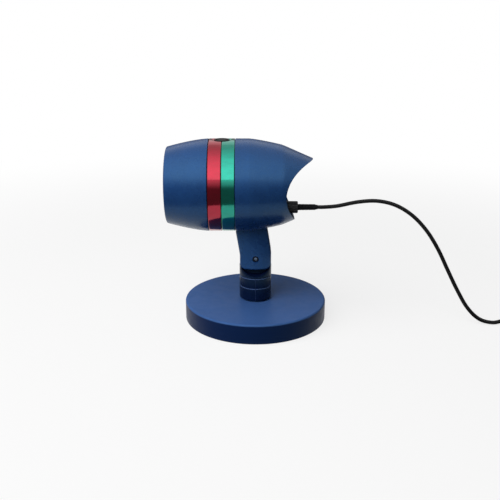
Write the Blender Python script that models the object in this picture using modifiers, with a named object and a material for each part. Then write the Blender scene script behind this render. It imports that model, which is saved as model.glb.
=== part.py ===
"""Laser star projector: a barrel-shaped lamp head on a tilting neck, screwed into a round stand.

Frame: metres, +Z up. The origin is the middle of the stand's underside. The beam leaves along -X,
and the lead leaves along +X. At rest the post is screwed home and the head is level.
"""

import math

import bmesh
import bpy
import numpy as np
from mathutils import Vector

MM = 0.001
DEG = math.radians(1)

# Fits
GAP = 0.3 * MM  # between pieces that touch
MERGE = 0.01 * MM  # points closer than this are one point
SWING_GAP = 0.5 * MM  # between pieces that turn past each other
SEAM = 0.3 * MM  # between the two halves of the housing

# Stand
BASE_RADIUS = 84.0 * MM
BASE_HEIGHT = 24.0 * MM
BASE_WALL = 2.6 * MM
BASE_EDGE = 2.4 * MM  # rounding of the top edge
SKIRT_CLEARANCE = 0.8 * MM  # the skirt stays this far off the ground
FOOT_THICKNESS = 1.5 * MM
FOOT_INSET = 5.0 * MM
PLATE_THICKNESS = 2.5 * MM
BALLAST_THICKNESS = 5.0 * MM
BALLAST_INSET = 4.6 * MM
BASE_SCREWS = 3
BASE_SCREW_INSET = 17.0 * MM  # from the cover's inner wall to the screws
BASE_POST_RADIUS = 4.5 * MM
SOCKET_WALL = 3.7 * MM
SOCKET_FLOOR = 2.0 * MM
SOCKET_EDGE = 0.6 * MM

# Screw post
STUD_RADIUS = 8.8 * MM  # over the thread's crests
THREAD_DEPTH = 0.9 * MM
THREAD_PITCH = 2.3 * MM
STUD_FIT = 0.5 * MM  # between the thread's crests and the socket
STUD_END_GAP = 1.0 * MM  # from the stud's tip to the socket's floor
STUD_SHANK = 14.0 * MM  # held inside the knuckle
WASHER_THICKNESS = 1.2 * MM
WASHER_WIDTH = 4.3 * MM
WASHER_FIT = 0.4 * MM
COLLAR_RADIUS = 18.9 * MM
COLLAR_HEIGHT = 27.6 * MM
COLLAR_WALL = 3.2 * MM
COLLAR_GROOVE_RISE = 14.6 * MM
GROOVE_WIDTH = 0.9 * MM
GROOVE_DEPTH = 0.6 * MM
GRIP_GROOVES = 6

# Pivot
PIVOT_RISE = 51.1 * MM  # above the collar's foot
TONGUE_THICKNESS = 10.0 * MM
TONGUE_RADIUS = 14.0 * MM
SHOULDER_DROP = 10.5 * MM  # from the pivot down to the saddle's shoulders
BOLT_RADIUS = 2.4 * MM
BOLT_HEAD_RADIUS = 3.1 * MM
BOLT_HEAD_HEIGHT = 2.7 * MM
COUNTERBORE_RADIUS = 3.75 * MM
COUNTERBORE_DEPTH = 3.4 * MM
NUT_RADIUS = 4.2 * MM
NUT_HEIGHT = 3.2 * MM
BUSH_WALL = 1.2 * MM
FRICTION_WASHER_RADIUS = 11.0 * MM
FRICTION_WASHER_THICKNESS = 0.8 * MM

# Neck
NECK_WIDTH = 36.7 * MM
NECK_DEPTH = 30.0 * MM
NECK_FOOT = 13.6 * MM  # below the pivot
NECK_CORNER = 6.5 * MM
NECK_EDGE = 3.0 * MM  # rounding of the edges seen from the side
NECK_LEAN = 9.3 * DEG  # the neck leans towards the beam
NECK_FRONT_STRAIGHT = 3.0 * MM  # above the pivot
NECK_REAR_STRAIGHT = 7.0 * MM
FORK_RISE = 17.0 * MM  # the fork's crown above the pivot
FORK_CROWN = 4.0 * MM
NECK_SINK = 2.2 * MM  # how far the neck reaches into the barrel

# Head
HEAD_RISE = 85.5 * MM  # the barrel's axis above the pivot
BODY_RADIUS = 52.8 * MM
SHELL_WALL = 2.6 * MM
FRONT_RADIUS = 43.6 * MM
FRONT_SHELL_LENGTH = 48.3 * MM
FRONT_TAPER_START = 0.5 * MM  # behind the front shell's rear edge
FRONT_TAPER_POWER = 1.5
RING_WIDTH = 15.0 * MM
RING_WALL = 3.2 * MM
RINGS_END_X = -23.2 * MM
REAR_TAPER_X = -8.0 * MM
REAR_TAPER_POWER = 1.3
CREASE_X = 30.6 * MM
CREASE_RADIUS = 45.7 * MM
TAIL_X = 66.4 * MM
TAIL_RADIUS = 30.2 * MM
SCOOP_X = 33.5 * MM  # the scoop's deepest point
SCOOP_DROP = 6.0 * MM  # that point below the barrel's axis
SCOOP_RADIUS = 35.0 * MM
SCOOP_BREAK = 45.0 * DEG  # where the round part runs into the flatter one
SCOOP_TOP_RADIUS = 45.0 * MM
SCOOP_FOOT_BREAK = 25.0 * DEG  # where it runs straight down to the lower lip

# Inside the front shell
LIP_WIDTH = 4.6 * MM  # of the front lip, inwards from the front edge
LIP_THICKNESS = 4.0 * MM
SEAL_THICKNESS = 1.5 * MM
GLASS_THICKNESS = 3.0 * MM
HOOD_FLANGE = 3.0 * MM
HOOD_WALL = 1.6 * MM
HOOD_LENGTH = 30.0 * MM
HOOD_MOUTH_RADIUS = 37.5 * MM
HOOD_THROAT_RADIUS = 15.2 * MM
GRATING_PLATE_THICKNESS = 2.6 * MM
GRATING_RADIUS = 14.6 * MM
GRATING_THICKNESS = 1.0 * MM
APERTURE_RADIUS = 3.6 * MM
BEAM_OFFSET = 9.0 * MM  # of each laser from the middle

# Lasers and their carrier
CARRIER_RADIUS = 19.0 * MM
CARRIER_FINS = 3
FIN_DEPTH = 3.0 * MM
MODULE_RADIUS = 6.0 * MM
MODULE_LENGTH = 26.0 * MM
MODULE_NOSE_RADIUS = 3.0 * MM
MODULE_NOSE_LENGTH = 2.0 * MM
CARRIER_SCREWS = 2
CARRIER_SCREW_CIRCLE = 16.0 * MM
CARRIER_SCREW_REACH = 7.0 * MM  # into the carrier, past the bulkhead

# Chassis and electronics
CHASSIS_WALL = 2.5 * MM
CHASSIS_LAP = 6.0 * MM  # into the shells before and behind the rings
BULKHEAD_THICKNESS = 3.0 * MM
BULKHEAD_SETBACK = 2.7 * MM  # its front face, before the rings' rear edge
BULKHEAD_HOLE_RADIUS = 13.0 * MM
BOARD_RADIUS = 36.0 * MM
BOARD_THICKNESS = 1.6 * MM
BOARD_HOLE_RADIUS = 6.0 * MM  # in its middle, for the lasers' wires
BOSS_LENGTH = 7.0 * MM
BOSS_RADIUS = 3.0 * MM
BOSS_CIRCLE = 30.0 * MM
BOSSES = 3
PEG_RADIUS = 1.4 * MM
CONNECTOR_DEPTH = 7.0 * MM
CONNECTOR_WIDTH = 14.0 * MM
CONNECTOR_HEIGHT = 6.0 * MM
CONNECTOR_DROP = 20.0 * MM  # below the barrel's axis
CAPACITOR_RADIUS = 5.0 * MM
CAPACITOR_LENGTH = 12.0 * MM
CAPACITOR_ASIDE = 14.0 * MM
CAPACITOR_RISE = 16.0 * MM
WIRE_RADIUS = 0.9 * MM
WIRE_HOLE_RADIUS = 2.2 * MM
WIRE_HOLE_INSET = 11.2 * MM  # below the chassis's inner wall

# Light sensor, on top where the rings meet
SENSOR_RADIUS = 8.8 * MM
SENSOR_FLANGE = 2.2 * MM
SENSOR_FLANGE_THICKNESS = 2.2 * MM
SENSOR_WALL = 1.9 * MM
SENSOR_LEDGE = 1.5 * MM
SENSOR_SUNK = 1.0 * MM  # its rim below the barrel's top
SENSOR_DOME = 0.7 * MM
LENS_THICKNESS = 4.6 * MM
COUNTERSINK_RADIUS = 13.2 * MM
COUNTERSINK_DEPTH = 2.4 * MM
PHOTOCELL_RADIUS = 2.6 * MM

# Rear panel, mode button and cable gland
PANEL_INSET = 1.8 * MM
PANEL_THICKNESS = 2.6 * MM
BUTTON_DROP = 10.5 * MM  # below the barrel's axis
BUTTON_RADIUS = 3.8 * MM
BUTTON_FIT = 0.4 * MM
BUTTON_TRAVEL = 1.2 * MM
BUTTON_LENGTH = 9.0 * MM
BUTTON_FLANGE = 0.9 * MM  # keeps the button from falling out
BUTTON_PROUD = 0.4 * MM
BEZEL_WALL = 1.3 * MM
BEZEL_PROUD = 0.6 * MM  # of the panel's face
BEZEL_LENGTH = 7.0 * MM
SWITCH_SIZE = 10.0 * MM
SWITCH_LENGTH = 8.0 * MM
GLAND_DROP = 26.4 * MM
GLAND_RADIUS = 4.9 * MM
GLAND_FLANGE_RADIUS = 7.0 * MM
GLAND_FLANGE_THICKNESS = 2.6 * MM
GLAND_SEAT_RADIUS = 7.4 * MM
GLAND_SEAT_HEIGHT = 5.3 * MM  # from the panel's face to the nut
GLAND_NUT_RADIUS = 7.0 * MM
GLAND_NUT_LENGTH = 11.6 * MM
GLAND_NUT_SIDES = 12
GLAND_NUT_EDGE = 1.0 * MM
RELIEF_LENGTH = 22.8 * MM
RELIEF_RADIUS = 3.6 * MM

# Housing screws: (X, height from the barrel's axis)
HOUSING_POST_RADIUS = 4.2 * MM
HOUSING_POSTS = [(8 * MM, 12.2 * MM, 1), (18 * MM, 16.2 * MM, -1)]  # X, depth in the barrel, side
NECK_POST_X = -4 * MM
SCREW_RADIUS = 1.5 * MM
SCREW_HEAD_RADIUS = 2.8 * MM
SCREW_HEAD_HEIGHT = 1.5 * MM
SCREW_FIT = 0.3 * MM
HOUSING_SCREW_SEAT = 8.0 * MM  # from the seam to the screw heads
HOUSING_SCREW_REACH = 9.0 * MM  # past the seam

# Lead
CORD_RADIUS = 2.25 * MM
COUPLING_X = 306.0 * MM  # where the lamp lead ends
COUPLING_ASIDE = 30.0 * MM
COUPLING_HEIGHT = 8.0 * MM
COUPLING_RING_RADIUS = 7.7 * MM
COUPLING_RING_LENGTH = 12.0 * MM
COUPLING_BODY_RADIUS = 6.3 * MM
COUPLING_BODY_LENGTH = 12.0 * MM
COUPLING_PIN_RADIUS = 4.0 * MM
COUPLING_PIN_DEPTH = 4.0 * MM
COUPLING_RELIEF_LENGTH = 9.0 * MM
COIL_STEP = 5.0 * MM  # between neighbouring turns
COIL_LAYERS = 4
COIL_TURNS = 3  # in each layer
COIL_RADIUS = 34.5 * MM  # of the outermost turn
COIL_LIFT = 1.9 * MM  # the ties carry the coil
LEAD_IN = 45.0 * MM  # straight run from the coupling to the coil
LEAD_OUT = 24.0 * MM  # straight run from the coil to the adapter
TIE_RADIUS = 0.7 * MM
ADAPTER_DEPTH = 34.0 * MM
ADAPTER_LENGTH = 62.0 * MM
ADAPTER_HEIGHT = 44.0 * MM
ADAPTER_EDGE = 4.0 * MM
ADAPTER_RELIEF_LENGTH = 12.0 * MM
BLADE_LENGTH = 16.0 * MM
BLADE_THICKNESS = 1.6 * MM
BLADE_WIDTH = 6.4 * MM
BLADE_SPACING = 12.7 * MM

# The lamp lead's route: shares of the way to the coupling along X and along Y, and of its height
LAMP_LEAD_ROUTE = [
    (0.097, 0.000, 1.010),
    (0.200, 0.000, 1.046),
    (0.294, 0.033, 1.056),
    (0.384, 0.100, 1.022),
    (0.468, 0.200, 0.936),
    (0.541, 0.317, 0.806),
    (0.601, 0.450, 0.646),
    (0.652, 0.583, 0.470),
    (0.704, 0.717, 0.294),
    (0.759, 0.833, 0.137),
    (0.821, 0.933, 0.036),
    (0.890, 0.993, 0.006),
    (0.950, 1.000, 0.030),
]

# Faceting
ROUND = 32  # sides of the big round pieces
INNER = 20  # of those inside
SMALL = 12  # of small ones
TINY = 8
LOOP_POINTS = 24  # of one loop of the coil
THREAD_STEPS = 16  # of one turn of the thread

# What follows from the sizes above
FOOT_TOP = FOOT_THICKNESS
PLATE_BOTTOM = FOOT_TOP + GAP
PLATE_TOP = PLATE_BOTTOM + PLATE_THICKNESS
BALLAST_TOP = PLATE_TOP + GAP + BALLAST_THICKNESS
CUP_FOOT = BALLAST_TOP + GAP
STUD_TIP = CUP_FOOT + SOCKET_FLOOR + STUD_END_GAP
COLLAR_FOOT = BASE_HEIGHT + GAP + WASHER_THICKNESS + GAP
COLLAR_TOP = COLLAR_FOOT + COLLAR_HEIGHT
SOCKET_RADIUS = STUD_RADIUS + STUD_FIT
PIVOT_Z = COLLAR_FOOT + PIVOT_RISE
AXIS_Z = PIVOT_Z + HEAD_RISE
GREEN_X = RINGS_END_X - RING_WIDTH
RED_X = GREEN_X - RING_WIDTH
FRONT_X = RED_X - FRONT_SHELL_LENGTH
RING_INNER = BODY_RADIUS - RING_WALL
CHASSIS_RADIUS = RING_INNER - GAP
CHASSIS_INNER = CHASSIS_RADIUS - CHASSIS_WALL
BULKHEAD_FRONT = RINGS_END_X - BULKHEAD_SETBACK
BULKHEAD_REAR = BULKHEAD_FRONT + BULKHEAD_THICKNESS
BOARD_FRONT = BULKHEAD_REAR + BOSS_LENGTH + GAP
BOARD_REAR = BOARD_FRONT + BOARD_THICKNESS
SENSOR_TOP = BODY_RADIUS - SENSOR_SUNK
SENSOR_HOLE = SENSOR_RADIUS + SCREW_FIT
PIVOT = Vector((0, 0, PIVOT_Z))
AXIS = Vector((0, 0, AXIS_Z))
FORK_HALF = TONGUE_THICKNESS / 2 + 2 * GAP + FRICTION_WASHER_THICKNESS
CHEEK_OUTER = NECK_DEPTH / 2
COUPLING_START = Vector((COUPLING_X, -COUPLING_ASIDE, COUPLING_HEIGHT))
ADAPTER_SIZE = Vector((ADAPTER_DEPTH, ADAPTER_LENGTH, ADAPTER_HEIGHT))
BLADE_SIZE = Vector((BLADE_LENGTH, BLADE_THICKNESS, BLADE_WIDTH))

# Turns that lay a piece's own Z along a world axis, and a flat outline's x, y along X, Z
UPRIGHT = (0, 0, 0)
ALONG_X = (0, math.pi / 2, 0)
ALONG_Y = (-math.pi / 2, 0, 0)
SIDE_VIEW = (math.pi / 2, 0, 0)

for old in list(bpy.data.objects):
    bpy.data.objects.remove(old)
PARTS = bpy.data.collections.new("laser_star_projector")
CUTTERS = bpy.data.collections.new("cutters")
for group in (PARTS, CUTTERS):
    bpy.context.scene.collection.children.link(group)


# Materials


def colour(code):
    """A colour such as 2f5c94 as the linear values that a shader takes."""
    parts = [int(code[i : i + 2], 16) / 255 for i in (0, 2, 4)]
    return [p / 12.92 if p <= 0.04045 else ((p + 0.055) / 1.055) ** 2.4 for p in parts] + [1]


def finish(name, code, roughness, metallic=0.0, transmission=0.0):
    material = bpy.data.materials.new(name)
    material.use_nodes = True
    shader = material.node_tree.nodes["Principled BSDF"]
    shader.inputs["Base Color"].default_value = colour(code)
    shader.inputs["Roughness"].default_value = roughness
    shader.inputs["Metallic"].default_value = metallic
    shader.inputs["Transmission Weight"].default_value = transmission
    material.diffuse_color = colour(code)
    return material


BLUE = finish("blue_plastic", "2c5590", 0.42)
BASE_BLUE = finish("stand_blue_plastic", "34507f", 0.45)
NAVY = finish("navy_plastic", "101b3c", 0.4)
RED = finish("red_tinted_plastic", "c2283f", 0.15, transmission=0.3)
GREEN = finish("green_tinted_plastic", "27b184", 0.15, transmission=0.3)
BLACK = finish("black_plastic", "101114", 0.45)
RUBBER = finish("black_rubber", "18181a", 0.8)
CORD = finish("black_cord", "121214", 0.5)
GLASS = finish("clear_glass", "dfe8ea", 0.03, transmission=0.95)
SMOKED = finish("smoked_lens", "08080b", 0.1, transmission=0.2)
STEEL = finish("zinc_steel", "a8abb0", 0.35, 1.0)
IRON = finish("ballast_steel", "57595e", 0.55, 1.0)
BRASS = finish("brass", "b8934a", 0.3, 1.0)
ALUMINIUM = finish("aluminium", "b9bcc1", 0.38, 1.0)
STUD_FINISH = finish("dark_stud", "1b1733", 0.35)
BOARD_GREEN = finish("circuit_board", "1d5c38", 0.5)
BOARD_PARTS = finish("circuit_parts", "2b2b30", 0.5)
FOAM = finish("foot_foam", "1d1e21", 0.95)
CELL = finish("photocell", "8a5a2c", 0.4)


# Building tools


def new_object(name, data, at=(0, 0, 0), turn=UPRIGHT, collection=PARTS):
    thing = bpy.data.objects.new(name, data)
    thing.location = at
    thing.rotation_euler = turn
    collection.objects.link(thing)
    return thing


def settle(thing):
    """Applies the modifiers; a curve becomes a mesh in the same place, with its caps welded on."""
    bpy.context.view_layer.update()
    graph = bpy.context.evaluated_depsgraph_get()
    mesh = bpy.data.meshes.new_from_object(thing.evaluated_get(graph))
    shape = bmesh.new()
    shape.from_mesh(mesh)
    bmesh.ops.remove_doubles(shape, verts=shape.verts, dist=MERGE)
    bmesh.ops.recalc_face_normals(shape, faces=shape.faces)
    shape.to_mesh(mesh)
    shape.free()
    if thing.type == "MESH":
        thing.modifiers.clear()
        thing.data = mesh
        return thing
    name, place, home = thing.name, thing.matrix_world.copy(), thing.users_collection[0]
    bpy.data.objects.remove(thing)
    solid = new_object(name, mesh, collection=home)
    solid.matrix_world = place
    return solid


def turned(name, outline, at=(0, 0, 0), turn=UPRIGHT, steps=ROUND):
    """A body turned about its own Z from (radius, height) points; with its ends on the axis it is solid."""
    area = sum(a[0] * b[1] - b[0] * a[1] for a, b in zip(outline, outline[1:] + outline[:1]))
    if area > 0:  # the outline has to run down its outer side
        outline = outline[::-1]
    last = len(outline) - 1
    edges = [(i, i + 1) for i in range(last)]
    if outline[0][0] > 0:
        edges.append((last, 0))
    mesh = bpy.data.meshes.new(name)
    mesh.from_pydata([(r, 0, z) for r, z in outline], edges, [])
    body = new_object(name, mesh, at, turn)
    screw = body.modifiers.new("Turn", "SCREW")
    screw.steps = screw.render_steps = steps
    screw.use_merge_vertices = True
    screw.merge_threshold = MERGE
    return settle(body)


def plate(name, outline, depth, at=(0, 0, 0), turn=SIDE_VIEW):
    """A flat outline with half its depth on each side."""
    curve = bpy.data.curves.new(name, "CURVE")
    curve.dimensions = "2D"
    curve.fill_mode = "BOTH"
    curve.extrude = depth / 2
    line = curve.splines.new("POLY")
    line.points.add(len(outline) - 1)
    for point, (x, y) in zip(line.points, outline):
        point.co = (x, y, 0, 1)
    line.use_cyclic_u = True
    return settle(new_object(name, curve, at, turn))


def rod(name, radius, start, end, at=(0, 0, 0), turn=UPRIGHT, sides=SMALL, end_radius=None):
    """A cylinder or cone along its own Z from start to end."""
    mesh = bpy.data.meshes.new(name)
    shape = bmesh.new()
    bmesh.ops.create_cone(
        shape,
        cap_ends=True,
        segments=sides,
        radius1=radius,
        radius2=radius if end_radius is None else end_radius,
        depth=end - start,
    )
    bmesh.ops.translate(shape, verts=shape.verts, vec=(0, 0, (start + end) / 2))
    shape.to_mesh(mesh)
    shape.free()
    return new_object(name, mesh, at, turn)


def block(name, low, high, edge=0.0, segments=2):
    """A box between two corners, with rounded edges."""
    low, high = Vector(low), Vector(high)
    mesh = bpy.data.meshes.new(name)
    shape = bmesh.new()
    bmesh.ops.create_cube(shape, size=1)
    bmesh.ops.scale(shape, vec=high - low, verts=shape.verts)
    shape.to_mesh(mesh)
    shape.free()
    body = new_object(name, mesh, (low + high) / 2)
    if edge:
        rounding = body.modifiers.new("Edges", "BEVEL")
        rounding.width = edge
        rounding.segments = segments
        settle(body)
    return body


def tube(name, points, radius, resolution=2, closed=False):
    """A tube along points, with filled ends."""
    curve = bpy.data.curves.new(name, "CURVE")
    curve.dimensions = "3D"
    curve.bevel_depth = radius
    curve.bevel_resolution = resolution
    curve.use_fill_caps = not closed
    line = curve.splines.new("POLY")
    line.points.add(len(points) - 1)
    for point, place in zip(line.points, points):
        point.co = (*place, 1)
    line.use_cyclic_u = closed
    return settle(new_object(name, curve))


def boolean(thing, operation, *tools):
    """Joins the tools to the thing, or cuts it with them, in turn."""
    for tool in tools:
        step = thing.modifiers.new(tool.name, "BOOLEAN")
        step.operation = operation
        step.solver = "EXACT"
        step.object = tool
        tool.hide_render = True
        tool.display_type = "WIRE"
        for home in list(tool.users_collection):
            home.objects.unlink(tool)
        CUTTERS.objects.link(tool)
    return settle(thing)


def cut(thing, *tools):
    return boolean(thing, "DIFFERENCE", *tools)


def join(thing, *tools):
    return boolean(thing, "UNION", *tools)


def grouped(name, pieces):
    """Separate solids of one kind, in one object."""
    shape = bmesh.new()
    for piece in pieces:
        settle(piece)
        bpy.context.view_layer.update()
        mesh = piece.data
        mesh.transform(piece.matrix_world)
        shape.from_mesh(mesh)
        bpy.data.objects.remove(piece)
    mesh = bpy.data.meshes.new(name)
    shape.to_mesh(mesh)
    shape.free()
    return new_object(name, mesh)


def eased(outline, size, corners=None):
    """The closed outline with its corners, or those numbered, cut off at size from their tips."""
    result = []
    for i, point in enumerate(outline):
        if corners is not None and i not in corners:
            result.append(point)
            continue
        here = Vector(point)
        for other in (outline[i - 1], outline[(i + 1) % len(outline)]):
            side = Vector(other) - here
            result.append(tuple(here + side.normalized() * min(size, 0.45 * side.length)))
    return result


def ring(name, inner, outer, low, high, edge=0.0, **place):
    """A flat ring, with its edges eased."""
    outline = [(inner, high), (outer, high), (outer, low), (inner, low)]
    return turned(name, eased(outline, edge) if edge else outline, **place)


def arc(centre, radius, start, end, count):
    """Points (x, z) on an arc, angles from +x towards +z."""
    angles = np.linspace(start, end, count)
    return [(centre[0] + radius * math.cos(a), centre[1] + radius * math.sin(a)) for a in angles]


def around(radius, count, start=0.0):
    """Points (x, y) spread evenly round a circle."""
    return [
        (radius * math.cos(start + math.tau * i / count), radius * math.sin(start + math.tau * i / count))
        for i in range(count)
    ]


def smooth(route, spacing):
    """Points at even spacing on a smooth curve through the route's own points."""
    known = [Vector(p) for p in route]
    known = [2 * known[0] - known[1], *known, 2 * known[-1] - known[-2]]
    dense = []
    for a, b, c, d in zip(known, known[1:], known[2:], known[3:]):
        for t in np.linspace(0, 1, 24, endpoint=False):
            dense.append(
                0.5
                * (
                    2 * b
                    + (c - a) * t
                    + (2 * a - 5 * b + 4 * c - d) * t**2
                    + (3 * b - a - 3 * c + d) * t**3
                )
            )
    dense.append(known[-2])
    line = np.array(dense)
    along = np.concatenate([[0], np.cumsum(np.linalg.norm(np.diff(line, axis=0), axis=1))])
    places = np.linspace(0, along[-1], max(2, round(along[-1] / spacing)) + 1)
    return np.stack([np.interp(places, along, line[:, k]) for k in range(3)], axis=1), along[-1]


def dress(thing, material, home=None):
    """Gives a finished piece its material, its shading and the empty it moves with."""
    thing.data.materials.clear()
    thing.data.materials.append(material)
    thing.data.shade_smooth()
    thing.data.set_sharp_from_angle(angle=35 * DEG)
    if home is not None:
        bpy.context.view_layer.update()
        thing.parent = home
        thing.matrix_parent_inverse = home.matrix_world.inverted()
    return thing


def axis_empty(name, at, home=None):
    empty = new_object(name, None, at)
    bpy.context.view_layer.update()
    if home is not None:
        empty.parent = home
        empty.matrix_parent_inverse = home.matrix_world.inverted()
    bpy.context.view_layer.update()
    return empty


# Shapes that several pieces share


def body_radius(x):
    """The barrel's outer radius at x: tapered to the front, full in the middle, tapered to the tail."""
    front = RED_X + FRONT_TAPER_START
    if x < front:
        share = (front - x) / (front - FRONT_X)
        return BODY_RADIUS - (BODY_RADIUS - FRONT_RADIUS) * share**FRONT_TAPER_POWER
    if x <= REAR_TAPER_X:
        return BODY_RADIUS
    if x < CREASE_X:
        share = (x - REAR_TAPER_X) / (CREASE_X - REAR_TAPER_X)
        return BODY_RADIUS - (BODY_RADIUS - CREASE_RADIUS) * share**REAR_TAPER_POWER
    slope = (TAIL_RADIUS - CREASE_RADIUS) / (TAIL_X - CREASE_X)
    return CREASE_RADIUS + slope * (x - CREASE_X)


def shell_room(x):
    """The radius of what fits inside the shell at x."""
    return body_radius(x) - SHELL_WALL - GAP


def barrel(name, start, end, inset, stations):
    """A solid of the barrel's shape between two places, its surface set in by inset."""
    places = [x for x in stations if start < x < end]
    outline = [(0, start)] + [(body_radius(x) - inset, x) for x in (start, *places, end)] + [(0, end)]
    return turned(name, outline, AXIS, ALONG_X)


REAR_STATIONS = [*np.linspace(REAR_TAPER_X, CREASE_X, 5)]
FRONT_STATIONS = [*np.linspace(FRONT_X, RED_X, 6)]
BEYOND_TAIL = TAIL_X + 6 * MM
REACH = 2 * BASE_RADIUS  # longer than any cut


def scoop_line(inset=0.0, foot_break=SCOOP_FOOT_BREAK):
    """The scoop's edge in side view, (x, height from the barrel's axis), from below to above."""
    centre = (SCOOP_X + SCOOP_RADIUS, -SCOOP_DROP)
    round_part = arc(centre, SCOOP_RADIUS + inset, math.pi + foot_break, math.pi - SCOOP_BREAK, 9)
    away = SCOOP_TOP_RADIUS - SCOOP_RADIUS
    top_centre = (centre[0] + away * math.cos(SCOOP_BREAK), centre[1] - away * math.sin(SCOOP_BREAK))
    upper = arc(top_centre, SCOOP_TOP_RADIUS + inset, math.pi - SCOOP_BREAK, math.pi / 2, 6)
    x, height = round_part[0]
    drop = 2 * BODY_RADIUS + height
    foot = (x + drop * math.tan(foot_break), -2 * BODY_RADIUS)
    return [foot, *round_part, *upper[1:]]


def panel_line(inset):
    """The same line for the panel behind the scoop: it stays upright below, round the gland."""
    return scoop_line(inset, 0.0)


def neck_outline(inset=0.0, top=0.0):
    """The neck in side view about the pivot, from its rounded foot up to top."""
    half = NECK_WIDTH / 2 - inset
    corner = NECK_CORNER - min(inset, NECK_CORNER / 2)
    foot = -NECK_FOOT + inset
    lean = math.tan(NECK_LEAN)
    left = arc((-half + corner, foot + corner), corner, math.pi, 1.5 * math.pi, 5)
    right = arc((half - corner, foot + corner), corner, 1.5 * math.pi, math.tau, 5)
    return [
        *left,
        *right,
        (half, NECK_REAR_STRAIGHT),
        (half - (top - NECK_REAR_STRAIGHT) * lean, top),
        (-half - (top - NECK_FRONT_STRAIGHT) * lean, top),
        (-half, NECK_FRONT_STRAIGHT),
    ]


# Stand


def base_cover():
    """The stand's shell, with the screwed socket moulded in its middle."""
    top, inner_top = BASE_HEIGHT, BASE_HEIGHT - BASE_WALL
    inner = BASE_RADIUS - BASE_WALL
    cup = SOCKET_RADIUS + SOCKET_WALL
    outline = [
        (0, CUP_FOOT + SOCKET_FLOOR),
        (SOCKET_RADIUS, CUP_FOOT + SOCKET_FLOOR),
        (SOCKET_RADIUS, top - SOCKET_EDGE),
        (SOCKET_RADIUS + SOCKET_EDGE, top),
        (BASE_RADIUS - BASE_EDGE, top),
        (BASE_RADIUS - 0.3 * BASE_EDGE, top - 0.3 * BASE_EDGE),
        (BASE_RADIUS, top - BASE_EDGE),
        (BASE_RADIUS, SKIRT_CLEARANCE),
        (inner, SKIRT_CLEARANCE),
        (inner, inner_top),
        (cup, inner_top),
        (cup, CUP_FOOT),
        (0, CUP_FOOT),
    ]
    cover = turned("base_cover", outline)
    posts, bores = [], []
    foot, tip = PLATE_TOP + GAP, base_screw_tip() + MM
    for x, y in base_screw_places():
        posts.append(rod("p", BASE_POST_RADIUS, foot, top - BASE_WALL / 2, (x, y, 0), sides=TINY))
        bores.append(rod("b", SCREW_RADIUS + SCREW_FIT, 0, tip, (x, y, 0), sides=TINY))
    join(cover, grouped("base_posts", posts))
    cut(cover, grouped("base_post_bores", bores))
    return dress(cover, BASE_BLUE)


def base_screw_places():
    return around(BASE_RADIUS - BASE_WALL - BASE_SCREW_INSET, BASE_SCREWS, math.pi / BASE_SCREWS)


def base_screw_tip():
    return BALLAST_TOP + 4.5 * MM


def base_plate():
    outline = [
        (0, PLATE_TOP),
        (BASE_RADIUS - BASE_WALL - GAP, PLATE_TOP),
        (BASE_RADIUS - BASE_WALL - GAP, PLATE_BOTTOM),
        (0, PLATE_BOTTOM),
    ]
    panel = turned("base_plate", outline)
    sunk = screw_sink()
    holes = []
    for x, y in base_screw_places():
        holes.append(rod("h", SCREW_RADIUS + SCREW_FIT, 0, BASE_HEIGHT, (x, y, 0), sides=TINY))
    heads = [
        rod("s", SCREW_HEAD_RADIUS + SCREW_FIT, 0, PLATE_BOTTOM + sunk, (x, y, 0), sides=TINY)
        for x, y in base_screw_places()
    ]
    cut(panel, grouped("plate_holes", holes), grouped("plate_sinks", heads))
    return dress(panel, NAVY)


def screw_sink():
    """How deep the base screws' heads are sunk in the plate."""
    return SCREW_HEAD_HEIGHT + SCREW_FIT


def base_screws():
    seat = PLATE_BOTTOM + screw_sink() - GAP
    outline = [
        (0, base_screw_tip()),
        (SCREW_RADIUS, base_screw_tip() - MM),
        (SCREW_RADIUS, seat),
        (SCREW_HEAD_RADIUS, seat),
        (SCREW_HEAD_RADIUS, seat - SCREW_HEAD_HEIGHT),
        (0, seat - SCREW_HEAD_HEIGHT),
    ]
    for i, (x, y) in enumerate(base_screw_places()):
        dress(turned(f"base_screw_{i + 1}", outline, (x, y, 0), steps=TINY), STEEL)


def ballast_disc():
    bottom = PLATE_TOP + GAP
    outline = [
        (0, BALLAST_TOP),
        (BASE_RADIUS - BASE_WALL - BALLAST_INSET, BALLAST_TOP),
        (BASE_RADIUS - BASE_WALL - BALLAST_INSET, bottom),
        (0, bottom),
    ]
    disc = turned("ballast_disc", outline, steps=32)
    holes = [
        rod("h", BASE_POST_RADIUS + SWING_GAP, 0, BASE_HEIGHT, (x, y, 0), sides=TINY)
        for x, y in base_screw_places()
    ]
    return dress(cut(disc, grouped("ballast_holes", holes)), IRON)


def foot_pad():
    outline = [
        (0, FOOT_TOP),
        (BASE_RADIUS - FOOT_INSET, FOOT_TOP),
        (BASE_RADIUS - FOOT_INSET, 0),
        (0, 0),
    ]
    return dress(turned("foot_pad", outline), FOAM)


# Screw post


def stud_washer(home):
    inner = STUD_RADIUS + WASHER_FIT
    low = BASE_HEIGHT + GAP
    washer = ring("stud_washer", inner, inner + WASHER_WIDTH, low, low + WASHER_THICKNESS, steps=INNER)
    return dress(washer, RUBBER, home)


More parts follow.
